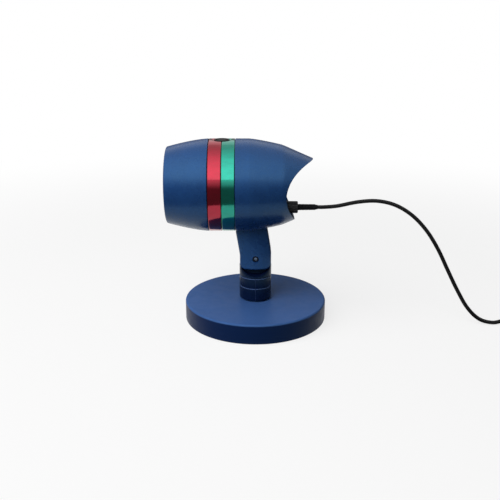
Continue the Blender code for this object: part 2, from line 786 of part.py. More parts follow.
def threaded_stud(home):
    core = STUD_RADIUS - THREAD_DEPTH
    top = COLLAR_FOOT + STUD_SHANK
    outline = [(0, top), (core, top), (core, STUD_TIP + MM), (core - MM, STUD_TIP), (0, STUD_TIP)]
    stud = turned("threaded_stud", outline, steps=THREAD_STEPS)
    start = STUD_TIP + 1.6 * MM
    end = COLLAR_FOOT - 1.0 * MM
    turns = (end - start) / THREAD_PITCH
    steps = THREAD_STEPS
    helix = [
        (
            (core + 0.1 * THREAD_DEPTH) * math.cos(math.tau * i / steps),
            (core + 0.1 * THREAD_DEPTH) * math.sin(math.tau * i / steps),
            start + THREAD_PITCH * i / steps,
        )
        for i in range(int(turns * steps) + 1)
    ]
    join(stud, tube("thread", helix, 0.9 * THREAD_DEPTH, 0))
    return dress(stud, STUD_FINISH, home)


def knuckle(home):
    """The saddle that the neck's foot turns in, with the tongue that goes up into the fork."""
    core = COLLAR_RADIUS - COLLAR_WALL - GAP
    shoulder = PIVOT_Z - SHOULDER_DROP
    outline = [
        (0, shoulder),
        (COLLAR_RADIUS, shoulder),
        (COLLAR_RADIUS, COLLAR_TOP + GAP),
        (core, COLLAR_TOP + GAP),
        (core, COLLAR_FOOT),
        (0, COLLAR_FOOT),
    ]
    body = turned("knuckle", eased(outline, 0.5 * MM, (2,)))
    swing = rod("saddle", saddle_radius(), -REACH, REACH, PIVOT, ALONG_Y, sides=48)
    cut(body, swing)
    foot = COLLAR_TOP - PIVOT_Z + 2 * MM
    tongue = [(-TONGUE_RADIUS, foot), (TONGUE_RADIUS, foot), *arc((0, 0), TONGUE_RADIUS, 0, math.pi, 11)]
    join(body, plate("tongue", tongue, TONGUE_THICKNESS, PIVOT))
    bore = rod("bush_bore", BOLT_RADIUS + SCREW_FIT + BUSH_WALL + GAP, -REACH, REACH, PIVOT, ALONG_Y)
    shank = STUD_RADIUS - THREAD_DEPTH + GAP
    hole = rod("shank_bore", shank, 0, COLLAR_FOOT + STUD_SHANK + GAP, sides=THREAD_STEPS)
    cut(body, bore, hole)
    return dress(body, NAVY, home)


def saddle_radius():
    """Clears the neck's rounded foot as it turns."""
    reach = math.hypot(NECK_WIDTH / 2 - NECK_CORNER, NECK_FOOT - NECK_CORNER) + NECK_CORNER
    return reach + SWING_GAP


def grip_collar(home):
    inner, deep = COLLAR_RADIUS - COLLAR_WALL, COLLAR_RADIUS - GROOVE_DEPTH
    groove = COLLAR_FOOT + COLLAR_GROOVE_RISE
    outline = [
        (inner, COLLAR_TOP),
        (COLLAR_RADIUS, COLLAR_TOP),
        (COLLAR_RADIUS, groove + GROOVE_WIDTH),
        (deep, groove + 0.5 * GROOVE_WIDTH),
        (COLLAR_RADIUS, groove),
        (COLLAR_RADIUS, COLLAR_FOOT),
        (inner, COLLAR_FOOT),
    ]
    collar = turned("grip_collar", outline)
    grooves = []
    for x, y in around(COLLAR_RADIUS + GROOVE_WIDTH / 2, GRIP_GROOVES, -math.pi / 2):
        square = rod("g", GROOVE_WIDTH, 0, PIVOT_Z, (x, y, 0), (0, 0, math.atan2(y, x)), sides=4)
        grooves.append(square)
    return dress(cut(collar, grouped("grip_grooves", grooves)), NAVY, home)


def pivot_bush(home):
    inner = BOLT_RADIUS + SCREW_FIT
    half = TONGUE_THICKNESS / 2
    bush = ring("pivot_bush", inner, inner + BUSH_WALL, -half, half, at=PIVOT, turn=ALONG_Y, steps=SMALL)
    return dress(bush, STEEL, home)


# Housing


def housing_blank():
    """Both halves of the rear shell with the neck, still in one."""
    start = RINGS_END_X + GAP
    shell = barrel("housing_blank", start, BEYOND_TAIL, 0, [*REAR_STATIONS, TAIL_X])
    neck_top = HEAD_RISE - BODY_RADIUS + NECK_SINK
    neck = plate("neck", neck_outline(top=neck_top), NECK_DEPTH, PIVOT)
    rounding = neck.modifiers.new("Edges", "BEVEL")
    rounding.width = NECK_EDGE
    rounding.segments = 2
    rounding.limit_method = "ANGLE"
    rounding.angle_limit = 50 * DEG
    settle(neck)
    join(shell, neck)
    bpy.context.view_layer.update()

    inside = barrel("housing_inside", start - MM, BEYOND_TAIL + MM, SHELL_WALL, [*REAR_STATIONS, TAIL_X])
    lap = turned(
        "rabbet",
        [
            (RING_INNER, start - 2 * MM),
            (BODY_RADIUS - MM, start - 2 * MM),
            (BODY_RADIUS - MM, RINGS_END_X + CHASSIS_LAP + 2 * MM),
            (RING_INNER, RINGS_END_X + CHASSIS_LAP + 2 * MM),
        ],
        AXIS,
        ALONG_X,
    )
    cut(inside, lap)
    scoop = scoop_line() + [(REACH, BODY_RADIUS * 2), (REACH, -BODY_RADIUS * 2)]
    scoop_cut = plate("scoop", scoop, REACH, AXIS)
    hollow = neck_outline(SHELL_WALL, neck_top + 6 * MM)[10:]
    crown = FORK_RISE + FORK_CROWN
    hollow = [(p[0], max(p[1], crown)) for p in hollow]
    cavity = plate("neck_cavity", hollow, NECK_DEPTH - 2 * SHELL_WALL, PIVOT)
    cut(shell, inside, scoop_cut, cavity)
    return shell


def housing_posts():
    """(X, Z) of each screw post in the barrel and, last, of the one in the neck, which stands
    midway between the fork's crown and the barrel."""
    posts = [(x, AXIS_Z + side * (BODY_RADIUS - depth)) for x, depth, side in HOUSING_POSTS]
    crown, barrel_foot = PIVOT_Z + FORK_RISE + FORK_CROWN, AXIS_Z - BODY_RADIUS
    return [*posts, (NECK_POST_X, (crown + barrel_foot) / 2)]


def fit_housing(shell):
    """Posts and bores for the screws, the fork for the tongue and the seats for the pivot bolt."""
    posts, bores, sinks = [], [], []
    for x, z in housing_posts():
        lie = {"at": (x, 0, z), "turn": ALONG_Y, "sides": TINY}
        reach, seat = HOUSING_SCREW_REACH + MM, HOUSING_SCREW_SEAT
        posts.append(rod("p", HOUSING_POST_RADIUS, -REACH, REACH, **lie))
        bores.append(rod("b", SCREW_RADIUS + SCREW_FIT, -reach, seat + MM, **lie))
        sinks.append(rod("s", SCREW_HEAD_RADIUS + SCREW_FIT, seat, REACH, **lie))
    low = Vector((-REACH, SHELL_WALL / 2 - CHEEK_OUTER, PIVOT_Z))
    neck_room = block("neck_room", low, (REACH, CHEEK_OUTER - SHELL_WALL / 2, AXIS_Z))
    barrel_room = barrel("barrel_room", RINGS_END_X, BEYOND_TAIL, SHELL_WALL / 2, REAR_STATIONS)
    neck_post = boolean(posts.pop(), "INTERSECT", neck_room)
    join(shell, boolean(grouped("housing_posts", posts), "INTERSECT", barrel_room), neck_post)
    fork = block(
        "fork", (-REACH, -FORK_HALF, PIVOT_Z - 2 * NECK_FOOT), (REACH, FORK_HALF, PIVOT_Z + FORK_RISE)
    )
    bolt = rod("bolt_bore", BOLT_RADIUS + SCREW_FIT, -REACH, REACH, PIVOT, ALONG_Y)
    head = rod("bolt_sink", COUNTERBORE_RADIUS, -REACH, COUNTERBORE_DEPTH - CHEEK_OUTER, PIVOT, ALONG_Y)
    nut = rod("nut_pocket", NUT_RADIUS + GAP, nut_seat(), REACH, PIVOT, ALONG_Y, sides=6)
    return cut(shell, grouped("screw_bores", bores), grouped("screw_sinks", sinks), fork, bolt, head, nut)


def nut_seat():
    return CHEEK_OUTER - NUT_HEIGHT - 2 * GAP


def housing_halves(home):
    whole = fit_housing(housing_blank())
    halves = []
    for name, side in (("housing_left", -1), ("housing_right", 1)):
        half = new_object(name, whole.data.copy(), whole.location, whole.rotation_euler)
        near, far = -side * REACH, side * SEAM / 2
        other = block(f"{name}_keep", (-REACH, min(near, far), -REACH), (REACH, max(near, far), 3 * REACH))
        above = PIVOT_Z + FORK_RISE + FORK_CROWN
        front = block(f"{name}_front", (-REACH, -REACH, above), (RINGS_END_X + GAP, REACH, 3 * REACH))
        halves.append(dress(cut(half, other, front), BLUE, home))
    bpy.data.objects.remove(whole)
    return halves


def housing_screws(home):
    seat = HOUSING_SCREW_SEAT + GAP
    outline = [
        (0, seat + SCREW_HEAD_HEIGHT),
        (SCREW_HEAD_RADIUS - 0.5 * MM, seat + SCREW_HEAD_HEIGHT),
        (SCREW_HEAD_RADIUS, seat + SCREW_HEAD_HEIGHT - 0.5 * MM),
        (SCREW_HEAD_RADIUS, seat),
        (SCREW_RADIUS, seat),
        (SCREW_RADIUS, MM - HOUSING_SCREW_REACH),
        (0, -HOUSING_SCREW_REACH),
    ]
    for i, (x, z) in enumerate(housing_posts()):
        dress(turned(f"housing_screw_{i + 1}", outline, (x, 0, z), ALONG_Y, TINY), STEEL, home)


def front_shell(home):
    outer = [(body_radius(x), x) for x in FRONT_STATIONS[1:]]
    outer[-1] = (outer[-1][0], RED_X - GAP)
    lip_inner = FRONT_RADIUS - LIP_WIDTH
    lip_back = FRONT_X + LIP_THICKNESS
    rabbet = RED_X - CHASSIS_LAP - 2 * MM
    inner = np.linspace(lip_back, rabbet - 3 * MM, 4)[1:-1]
    outline = [
        (lip_inner, FRONT_X),
        (FRONT_RADIUS - 1.0 * MM, FRONT_X),
        (FRONT_RADIUS + 0.2 * MM, FRONT_X + 1.2 * MM),
        *outer,
        (RING_INNER, RED_X - GAP),
        (RING_INNER, rabbet),
        (body_radius(rabbet) - SHELL_WALL, rabbet - 3 * MM),
        *[(body_radius(x) - SHELL_WALL, x) for x in reversed(inner)],
        (body_radius(lip_back) - SHELL_WALL, lip_back),
        (lip_inner, lip_back),
    ]
    return dress(turned("front_shell", outline, AXIS, ALONG_X), BLUE, home)


def sensor_seat():
    """The hole for the light sensor, with its countersink, as a cutter."""
    slope = (COUNTERSINK_RADIUS - SENSOR_HOLE) / COUNTERSINK_DEPTH
    above = 4 * MM
    outline = [
        (0, BODY_RADIUS + above),
        (COUNTERSINK_RADIUS + slope * above, BODY_RADIUS + above),
        (SENSOR_HOLE, BODY_RADIUS - COUNTERSINK_DEPTH),
        (SENSOR_HOLE, CHASSIS_INNER - 6 * MM),
        (0, CHASSIS_INNER - 6 * MM),
    ]
    return turned("sensor_seat", outline, (GREEN_X, 0, AXIS_Z), steps=INNER)


def colour_ring(name, start, material, home):
    outline = [
        (RING_INNER, start + GAP / 2),
        (BODY_RADIUS, start + GAP / 2),
        (BODY_RADIUS, start + RING_WIDTH - GAP / 2),
        (RING_INNER, start + RING_WIDTH - GAP / 2),
    ]
    body = turned(name, eased(outline, 0.3 * MM, (1, 2)), AXIS, ALONG_X)
    return dress(cut(body, sensor_seat()), material, home)


def chassis(home):
    """The tube under the rings; its bulkhead carries the lasers, and the board on riveted pegs."""
    outline = [
        (CHASSIS_RADIUS, RED_X - CHASSIS_LAP),
        (CHASSIS_RADIUS, RINGS_END_X + CHASSIS_LAP),
        (CHASSIS_INNER, RINGS_END_X + CHASSIS_LAP),
        (CHASSIS_INNER, BULKHEAD_REAR),
        (BULKHEAD_HOLE_RADIUS, BULKHEAD_REAR),
        (BULKHEAD_HOLE_RADIUS, BULKHEAD_FRONT),
        (CHASSIS_INNER, BULKHEAD_FRONT),
        (CHASSIS_INNER, RED_X - CHASSIS_LAP),
    ]
    body = turned("chassis", outline, AXIS, ALONG_X)
    head = SCREW_HEAD_HEIGHT * 0.6
    peg = [
        (0, BOARD_REAR + GAP + head),
        (PEG_RADIUS, BOARD_REAR + GAP + head),
        (PEG_RADIUS, BOARD_FRONT - GAP),
        (BOSS_RADIUS, BOARD_FRONT - GAP),
        (BOSS_RADIUS, BULKHEAD_FRONT + MM),
        (0, BULKHEAD_FRONT + MM),
    ]
    join(body, grouped("bosses", [turned("b", peg, at, ALONG_X, TINY) for at in boss_places()]))
    wire = rod("wire_hole", WIRE_HOLE_RADIUS, -REACH, REACH, sensor_wire_place(), ALONG_X, TINY)
    ends = (BULKHEAD_FRONT - MM, BULKHEAD_REAR + MM)
    screws = [rod("h", SCREW_RADIUS, *ends, at, ALONG_X, TINY) for at in carrier_screw_places()]
    return dress(cut(body, sensor_seat(), wire, grouped("carrier_holes", screws)), BLACK, home)


def off_axis(y, z):
    """The origin of a piece that lies along X beside the barrel's axis."""
    return AXIS + Vector((0, y, z))


def boss_places():
    return [off_axis(y, z) for y, z in around(BOSS_CIRCLE, BOSSES, math.pi / 6)]


def sensor_wire_place():
    return off_axis(0, CHASSIS_INNER - WIRE_HOLE_INSET)


def carrier_screw_places():
    return [off_axis(y, z) for y, z in around(CARRIER_SCREW_CIRCLE, CARRIER_SCREWS, math.pi / 2)]


# Optics


def front_stack():
    """The places along X of what lies behind the front lip, front to rear."""
    seal = FRONT_X + LIP_THICKNESS + GAP
    glass = seal + SEAL_THICKNESS + GAP
    hood = glass + GLASS_THICKNESS + GAP
    plate_front = hood + HOOD_LENGTH + GAP
    carrier = plate_front + GRATING_PLATE_THICKNESS + GAP
    return {"seal": seal, "glass": glass, "hood": hood, "plate": plate_front, "carrier": carrier}


def window_seal(home):
    x = front_stack()["seal"]
    outer = shell_room(x)
    inner = FRONT_RADIUS - LIP_WIDTH + 0.4 * MM
    body = ring("window_seal", inner, outer, x, x + SEAL_THICKNESS, at=AXIS, turn=ALONG_X, steps=INNER)
    return dress(body, RUBBER, home)


def front_window(home):
    x = front_stack()["glass"]
    outer = shell_room(x)
    outline = [(0, x), (outer, x), (outer, x + GLASS_THICKNESS), (0, x + GLASS_THICKNESS)]
    return dress(turned("front_window", outline, AXIS, ALONG_X, INNER), GLASS, home)


def optic_hood(home):
    """A black funnel that holds the window in front and the grating behind."""
    x = front_stack()["hood"]
    end = x + HOOD_LENGTH
    outer = shell_room(x)
    mouth, throat = HOOD_MOUTH_RADIUS, HOOD_THROAT_RADIUS
    outline = [
        (mouth, x),
        (outer, x),
        (outer, x + HOOD_FLANGE),
        (mouth + HOOD_WALL, x + HOOD_FLANGE),
        (throat + HOOD_WALL, end),
        (throat, end),
    ]
    return dress(turned("optic_hood", outline, AXIS, ALONG_X, INNER), BLACK, home)


def beam_places():
    return [off_axis(side * BEAM_OFFSET, 0) for side in (-1, 1)]


def grating_plate(home):
    """Carries the grating in a recess, over an opening for each beam."""
    x = front_stack()["plate"]
    end = x + GRATING_PLATE_THICKNESS
    outline = [
        (0, x + GRATING_THICKNESS + GAP),
        (GRATING_RADIUS + GAP, x + GRATING_THICKNESS + GAP),
        (GRATING_RADIUS + GAP, x),
        (CARRIER_RADIUS, x),
        (CARRIER_RADIUS, end),
        (0, end),
    ]
    body = turned("grating_plate", outline, AXIS, ALONG_X, INNER)
    holes = [rod("h", APERTURE_RADIUS, x - MM, end + MM, place, ALONG_X) for place in beam_places()]
    return dress(cut(body, grouped("apertures", holes)), BLACK, home)


def diffraction_grating(home):
    x = front_stack()["plate"]
    end = x + GRATING_THICKNESS
    outline = [(0, x), (GRATING_RADIUS, x), (GRATING_RADIUS, end), (0, end)]
    return dress(turned("diffraction_grating", outline, AXIS, ALONG_X, INNER), GLASS, home)


def laser_carrier(home):
    """The finned aluminium block that holds and cools both lasers."""
    start, end = front_stack()["carrier"], BULKHEAD_FRONT - GAP
    pitch = (end - start) / (2 * CARRIER_FINS + 1)
    outline = [(0, start)]
    for i in range(2 * CARRIER_FINS + 1):
        radius = CARRIER_RADIUS - FIN_DEPTH * (i % 2)
        outline += [(radius, start + i * pitch), (radius, start + (i + 1) * pitch)]
    outline.append((0, end))
    body = turned("laser_carrier", outline, AXIS, ALONG_X, INNER)
    bores = [
        rod("b", MODULE_RADIUS + GAP, start + MODULE_NOSE_LENGTH, end + MM, place, ALONG_X)
        for place in beam_places()
    ]
    noses = [
        rod("n", MODULE_NOSE_RADIUS + GAP, start - MM, end, place, ALONG_X) for place in beam_places()
    ]
    tap = BULKHEAD_FRONT - CARRIER_SCREW_REACH - MM
    taps = [rod("h", SCREW_RADIUS, tap, end + MM, at, ALONG_X, TINY) for at in carrier_screw_places()]
    tools = [grouped("module_bores", bores), grouped("nose_bores", noses), grouped("carrier_taps", taps)]
    return dress(cut(body, *tools), ALUMINIUM, home)


def carrier_screws(home):
    seat = BULKHEAD_REAR + GAP
    tip = BULKHEAD_FRONT - CARRIER_SCREW_REACH
    outline = [
        (0, tip),
        (SCREW_RADIUS - GAP, tip),
        (SCREW_RADIUS - GAP, seat),
        (SCREW_HEAD_RADIUS, seat),
        (SCREW_HEAD_RADIUS, seat + SCREW_HEAD_HEIGHT),
        (0, seat + SCREW_HEAD_HEIGHT),
    ]
    for i, at in enumerate(carrier_screw_places()):
        dress(turned(f"carrier_screw_{i + 1}", outline, at, ALONG_X, TINY), STEEL, home)


def laser_module(name, place, home):
    start = front_stack()["carrier"]
    body_start = start + MODULE_NOSE_LENGTH + GAP
    outline = [
        (0, start + GAP),
        (MODULE_NOSE_RADIUS, start + GAP),
        (MODULE_NOSE_RADIUS, body_start),
        (MODULE_RADIUS, body_start),
        (MODULE_RADIUS, body_start + MODULE_LENGTH),
        (0, body_start + MODULE_LENGTH),
    ]
    return dress(turned(name, outline, place, ALONG_X, SMALL), BRASS, home)


# Electronics


def on_board(name, depth, width, height, y, z, sink=0.0):
    """A box on the board's rear face; sink sets it into the board."""
    middle = off_axis(y, z) + Vector((BOARD_REAR + GAP - sink + depth / 2, 0, 0))
    half = Vector((depth, width, height)) / 2
    return block(name, middle - half, middle + half)


def driver_board(home):
    """The round board with the chips soldered to its rear face."""
    outline = [
        (BOARD_HOLE_RADIUS, BOARD_FRONT),
        (BOARD_RADIUS, BOARD_FRONT),
        (BOARD_RADIUS, BOARD_REAR),
        (BOARD_HOLE_RADIUS, BOARD_REAR),
    ]
    board = turned("driver_board", outline, AXIS, ALONG_X, INNER)
    chips = [  # depth, width, height, y, z
        (7.0, 11.0, 11.0, 15.0, 17.0),
        (2.4, 9.0, 7.0, -16.0, -8.0),
        (4.0, 6.0, 9.0, 20.0, -8.0),
        (2.2, 5.0, 5.0, 2.0, 14.0),
    ]
    solids = [on_board("chip", *[size * MM for size in chip], sink=MM) for chip in chips]
    join(board, grouped("chips", solids))
    ends = (BOARD_FRONT - MM, BOARD_REAR + MM)
    holes = [rod("h", PEG_RADIUS + GAP, *ends, at, ALONG_X, TINY) for at in boss_places()]
    return dress(cut(board, grouped("peg_holes", holes)), BOARD_GREEN, home)


def board_capacitor(home):
    x = BOARD_REAR + GAP
    edge = 0.8 * MM
    outline = [
        (0, x + CAPACITOR_LENGTH),
        (CAPACITOR_RADIUS - edge, x + CAPACITOR_LENGTH),
        (CAPACITOR_RADIUS, x + CAPACITOR_LENGTH - edge),
        (CAPACITOR_RADIUS, x),
        (0, x),
    ]
    place = off_axis(-CAPACITOR_ASIDE, CAPACITOR_RISE)
    return dress(turned("board_capacitor", outline, place, ALONG_X, SMALL), BOARD_PARTS, home)


def board_connector(home):
    size = (CONNECTOR_DEPTH, CONNECTOR_WIDTH, CONNECTOR_HEIGHT)
    return dress(on_board("board_connector", *size, 0, -CONNECTOR_DROP), BOARD_PARTS, home)


def wiring_loom(home):
    """One plug on the board, with wires from the gland, the switch, the light sensor and the lasers."""
    start = BOARD_REAR + GAP + CONNECTOR_DEPTH + GAP
    length = 5 * MM
    plug_size = (length, CONNECTOR_WIDTH - MM, CONNECTOR_HEIGHT - MM)
    plug = on_board("wiring_loom", *plug_size, 0, -CONNECTOR_DROP, sink=GAP - (start - BOARD_REAR))
    tail = start + length - MM
    out = tail + 5 * MM
    laser_end = front_stack()["carrier"] + MODULE_NOSE_LENGTH + GAP + MODULE_LENGTH + GAP
    gland_x = gland_places()["flange"] - GAP
    switch_x = switch_front() - GAP
    high = CHASSIS_INNER - WIRE_HOLE_INSET
    down = -CONNECTOR_DROP
    edge = BOARD_RADIUS + 4 * MM
    cell = sensor_places()["foot"] - GAP
    routes = [
        [(gland_x, 0, -GLAND_DROP), (gland_x - 6 * MM, 0, -GLAND_DROP), (out, 0, down), (tail, 0, down)],
        [
            (switch_x, 0, -BUTTON_DROP),
            (switch_x - 3 * MM, 0, -BUTTON_DROP),
            (out, 3 * MM, down + 3 * MM),
            (tail, 3 * MM, down),
        ],
        [
            (GREEN_X, 0, cell),
            (GREEN_X, 0, cell - 4 * MM),
            (GREEN_X + 5 * MM, 0, high),
            (BULKHEAD_REAR, 0, high),
            (BOARD_FRONT, 0, edge),
            (BOARD_REAR + 3 * MM, 0, edge - MM),
            (out, -5 * MM, 20 * MM),
            (out + 3 * MM, -5 * MM, 0),
            (out, -5 * MM, down + 4 * MM),
            (tail, -5 * MM, down),
        ],
        *[
            [
                (laser_end, side * BEAM_OFFSET, 0),
                (laser_end + 2 * MM, side * BEAM_OFFSET, 0),
                (BOARD_FRONT, side * 2 * MM, 0),
                (BOARD_REAR + 6 * MM, side * 2 * MM, -2 * MM),
                (out, side * 1.5 * MM, down + 5 * MM),
                (tail, side * 1.5 * MM, down),
            ]
            for side in (-1, 1)
        ],
    ]
    wires = []
    for route in routes:
        points, _ = smooth([AXIS + Vector(p) for p in route], 7 * MM)
        wires.append(tube("wire", points, WIRE_RADIUS, 1))
    return dress(join(plug, *wires), CORD, home)


# Light sensor


def sensor_places():
    """Heights from the barrel's axis of the sensor's parts."""
    flange_top = math.sqrt(CHASSIS_INNER**2 - (SENSOR_RADIUS + SENSOR_FLANGE) ** 2) - GAP
    foot = flange_top - SENSOR_FLANGE_THICKNESS
    ledge = SENSOR_TOP - LENS_THICKNESS - GAP
    return {"foot": foot, "flange_top": flange_top, "ledge": ledge}


def sensor_holder(home):
    places = sensor_places()
    bore = SENSOR_RADIUS - SENSOR_WALL
    narrow = bore - SENSOR_LEDGE
    outline = [
        (bore, SENSOR_TOP),
        (SENSOR_RADIUS - 0.5 * MM, SENSOR_TOP),
        (SENSOR_RADIUS, SENSOR_TOP - 0.5 * MM),
        (SENSOR_RADIUS, places["flange_top"]),
        (SENSOR_RADIUS + SENSOR_FLANGE, places["flange_top"]),
        (SENSOR_RADIUS + SENSOR_FLANGE, places["foot"]),
        (narrow, places["foot"]),
        (narrow, places["ledge"]),
        (bore, places["ledge"]),
    ]
    return dress(turned("sensor_holder", outline, (GREEN_X, 0, AXIS_Z), steps=INNER), BLACK, home)


def sensor_lens(home):
    low = sensor_places()["ledge"] + GAP
    radius = SENSOR_RADIUS - SENSOR_WALL - GAP
    outline = [
        (0, SENSOR_TOP + SENSOR_DOME),
        (0.4 * radius, SENSOR_TOP + 0.86 * SENSOR_DOME),
        (0.75 * radius, SENSOR_TOP + 0.45 * SENSOR_DOME),
        (radius, SENSOR_TOP - 0.2 * MM),
        (radius, low),
        (0, low),
    ]
    return dress(turned("sensor_lens", outline, (GREEN_X, 0, AXIS_Z), steps=INNER), SMOKED, home)


def photocell(home):
    foot = sensor_places()["foot"]
    rim = SENSOR_RADIUS - SENSOR_WALL - SENSOR_LEDGE - GAP
    outline = [
        (0, foot + 2.6 * MM),
        (PHOTOCELL_RADIUS, foot + 2.6 * MM),
        (PHOTOCELL_RADIUS, foot + MM),
        (rim, foot + MM),
        (rim, foot),
        (0, foot),
    ]
    return dress(turned("photocell", outline, (GREEN_X, 0, AXIS_Z), steps=SMALL), CELL, home)


# Rear panel, button and gland


def gland_places():
    """Places along X: the panel's inner and outer face at the gland, and the pieces that pass it."""
    face = SCOOP_X - PANEL_INSET
    inner = face - PANEL_THICKNESS
    flange = inner - GAP - GLAND_FLANGE_THICKNESS
    seat = face + GLAND_SEAT_HEIGHT
    nut = seat + GAP
    return {"face": face, "inner": inner, "flange": flange, "seat": seat, "nut": nut}


def bezel_face():
    """The face of the panel's collar round the button."""
    return SCOOP_X - PANEL_INSET + BEZEL_PROUD


def button_foot():
    return bezel_face() + BUTTON_PROUD - BUTTON_LENGTH


def switch_front():
    return button_foot() - BUTTON_TRAVEL - GAP - SWITCH_LENGTH


def rear_panel(home):
    """A curved wall that closes the housing, set in from the scoop's edge."""
    outer = panel_line(PANEL_INSET)
    inner = panel_line(PANEL_INSET + PANEL_THICKNESS)
    panel = plate("rear_panel", outer + inner[::-1], REACH, AXIS)
    room = barrel("panel_room", 0, BEYOND_TAIL + MM, SHELL_WALL + GAP, [*REAR_STATIONS, TAIL_X])
    boolean(panel, "INTERSECT", room)
    places = gland_places()
    gland, button = off_axis(0, -GLAND_DROP), off_axis(0, -BUTTON_DROP)
    bore = BUTTON_RADIUS + BUTTON_FIT
    face = bezel_face()
    join(
        panel,
        rod("gland_seat", GLAND_SEAT_RADIUS, places["inner"] + MM, places["seat"], gland, ALONG_X),
        rod("bezel", bore + BEZEL_WALL, face - BEZEL_LENGTH, face, button, ALONG_X),
    )
    gland_hole = rod("gland_hole", GLAND_RADIUS + GAP, 0, REACH, gland, ALONG_X)
    button_hole = rod("button_hole", bore, 0, REACH, button, ALONG_X)
    return dress(cut(panel, gland_hole, button_hole), NAVY, home)


def mode_switch(home):
    start = switch_front()
    half = SWITCH_SIZE / 2
    low = AXIS + Vector((start, -half, -BUTTON_DROP - half))
    high = AXIS + Vector((start + SWITCH_LENGTH, half, -BUTTON_DROP + half))
    return dress(block("mode_switch", low, high), BOARD_PARTS, home)


def power_button(home):
    """A cap with a flange behind the panel's collar."""
    end = bezel_face() + BUTTON_PROUD
    flange = bezel_face() - BEZEL_LENGTH - GAP
    outline = [
        (0, end),
        (BUTTON_RADIUS - 0.8 * MM, end),
        (BUTTON_RADIUS, end - 0.8 * MM),
        (BUTTON_RADIUS, flange),
        (BUTTON_RADIUS + BUTTON_FLANGE, flange),
        (BUTTON_RADIUS + BUTTON_FLANGE, button_foot()),
        (0, button_foot()),
    ]
    place = off_axis(0, -BUTTON_DROP)
    return dress(turned("power_button", outline, place, ALONG_X, SMALL), BLACK, home)


def cable_gland(home):
    """The body that passes the panel, with its flange inside."""
    places = gland_places()
    end = places["nut"] + 3 * MM
    flange_end = places["flange"] + GLAND_FLANGE_THICKNESS
    outline = [
        (0, places["flange"]),
        (GLAND_FLANGE_RADIUS, places["flange"]),
        (GLAND_FLANGE_RADIUS, flange_end),
        (GLAND_RADIUS, flange_end),
        (GLAND_RADIUS, end),
        (0, end),
    ]
    place = off_axis(0, -GLAND_DROP)
    return dress(turned("cable_gland", outline, place, ALONG_X, SMALL), BLACK, home)


def gland_nut(home):
    """A nut with flats that closes over the gland, tapered to the strain relief."""
    places = gland_places()
    start, end = places["nut"], places["nut"] + GLAND_NUT_LENGTH
    hollow = start + 3 * MM + GAP
    outline = [
        (0, end),
        (GLAND_NUT_RADIUS - GLAND_NUT_EDGE, end),
        (GLAND_NUT_RADIUS, end - GLAND_NUT_EDGE),
        (GLAND_NUT_RADIUS, start),
        (GLAND_RADIUS + GAP, start),
        (GLAND_RADIUS + GAP, hollow),
        (0, hollow),
    ]
    place = off_axis(0, -GLAND_DROP)
    return dress(turned("gland_nut", outline, place, ALONG_X, GLAND_NUT_SIDES), BLACK, home)


def relief_end():
    return gland_places()["nut"] + GLAND_NUT_LENGTH + GAP + RELIEF_LENGTH


def strain_relief(home):
    end = relief_end()
    start = end - RELIEF_LENGTH
    outline = [
        (0, start),
        (RELIEF_RADIUS, start),
        (0.93 * RELIEF_RADIUS, end - 3 * MM),
        (CORD_RADIUS + 0.4 * MM, end),
        (0, end),
    ]
    place = off_axis(0, -GLAND_DROP)
    return dress(turned("strain_relief", outline, place, ALONG_X, TINY + 4), RUBBER, home)


# Pivot hardware


def pivot_bolt(home):
    seat = COUNTERBORE_DEPTH - CHEEK_OUTER - GAP
    end = CHEEK_OUTER - GAP
    outline = [
        (0, seat - BOLT_HEAD_HEIGHT),
        (BOLT_HEAD_RADIUS - 0.7 * MM, seat - BOLT_HEAD_HEIGHT),
        (BOLT_HEAD_RADIUS, seat - BOLT_HEAD_HEIGHT + 0.7 * MM),
        (BOLT_HEAD_RADIUS, seat),
        (BOLT_RADIUS, seat),
        (BOLT_RADIUS, end),
        (0, end),
    ]
    return dress(turned("pivot_bolt", outline, PIVOT, ALONG_Y, SMALL), STEEL, home)


def pivot_nut(home):
    start = nut_seat() + GAP
    nut = rod("pivot_nut", NUT_RADIUS, start, start + NUT_HEIGHT - GAP, PIVOT, ALONG_Y, sides=6)
    bore = rod("nut_bore", BOLT_RADIUS + GAP, 0, REACH, PIVOT, ALONG_Y)
    return dress(cut(nut, bore), STEEL, home)


def friction_washers(home):
    inner = BOLT_RADIUS + SCREW_FIT
    start = TONGUE_THICKNESS / 2 + GAP
    end = start + FRICTION_WASHER_THICKNESS
    for side, low, high in (("left", -end, -start), ("right", start, end)):
        name = f"friction_washer_{side}"
        washer = ring(name, inner, FRICTION_WASHER_RADIUS, low, high, at=PIVOT, turn=ALONG_Y, steps=SMALL)
        dress(washer, BLACK, home)


# Lead


def lamp_lead_route():
    start = off_axis(0, -GLAND_DROP) + Vector((relief_end() + GAP, 0, 0))
    end = COUPLING_START - Vector((GAP, 0, 0))
    straight = Vector((3 * CORD_RADIUS, 0, 0))
    way = end - start
    height = start.z - CORD_RADIUS
    middle = [
        (start.x + along * way.x, start.y + aside * way.y, CORD_RADIUS + share * height)
        for along, aside, share in LAMP_LEAD_ROUTE
    ]
    return [start, start + straight, *middle, end]


def lamp_lead():
    points, length = smooth(lamp_lead_route(), 10 * MM)
    print(f"lamp lead {length:.3f} m")
    return dress(tube("lamp_lead", points, CORD_RADIUS), CORD)


def coupling_places():
    """Places along X of the coupling's pieces."""
    start = COUPLING_START.x
    plug_end = start + COUPLING_RELIEF_LENGTH + COUPLING_BODY_LENGTH
    ring_start = plug_end + GAP
    socket_start = ring_start + COUPLING_RING_LENGTH + GAP
    pin_end = socket_start + COUPLING_PIN_DEPTH
    end = socket_start + COUPLING_BODY_LENGTH + COUPLING_RELIEF_LENGTH
    return {
        "start": start,
        "plug_end": plug_end,
        "ring": ring_start,
        "socket": socket_start,
        "pin_end": pin_end,
        "end": end,
    }


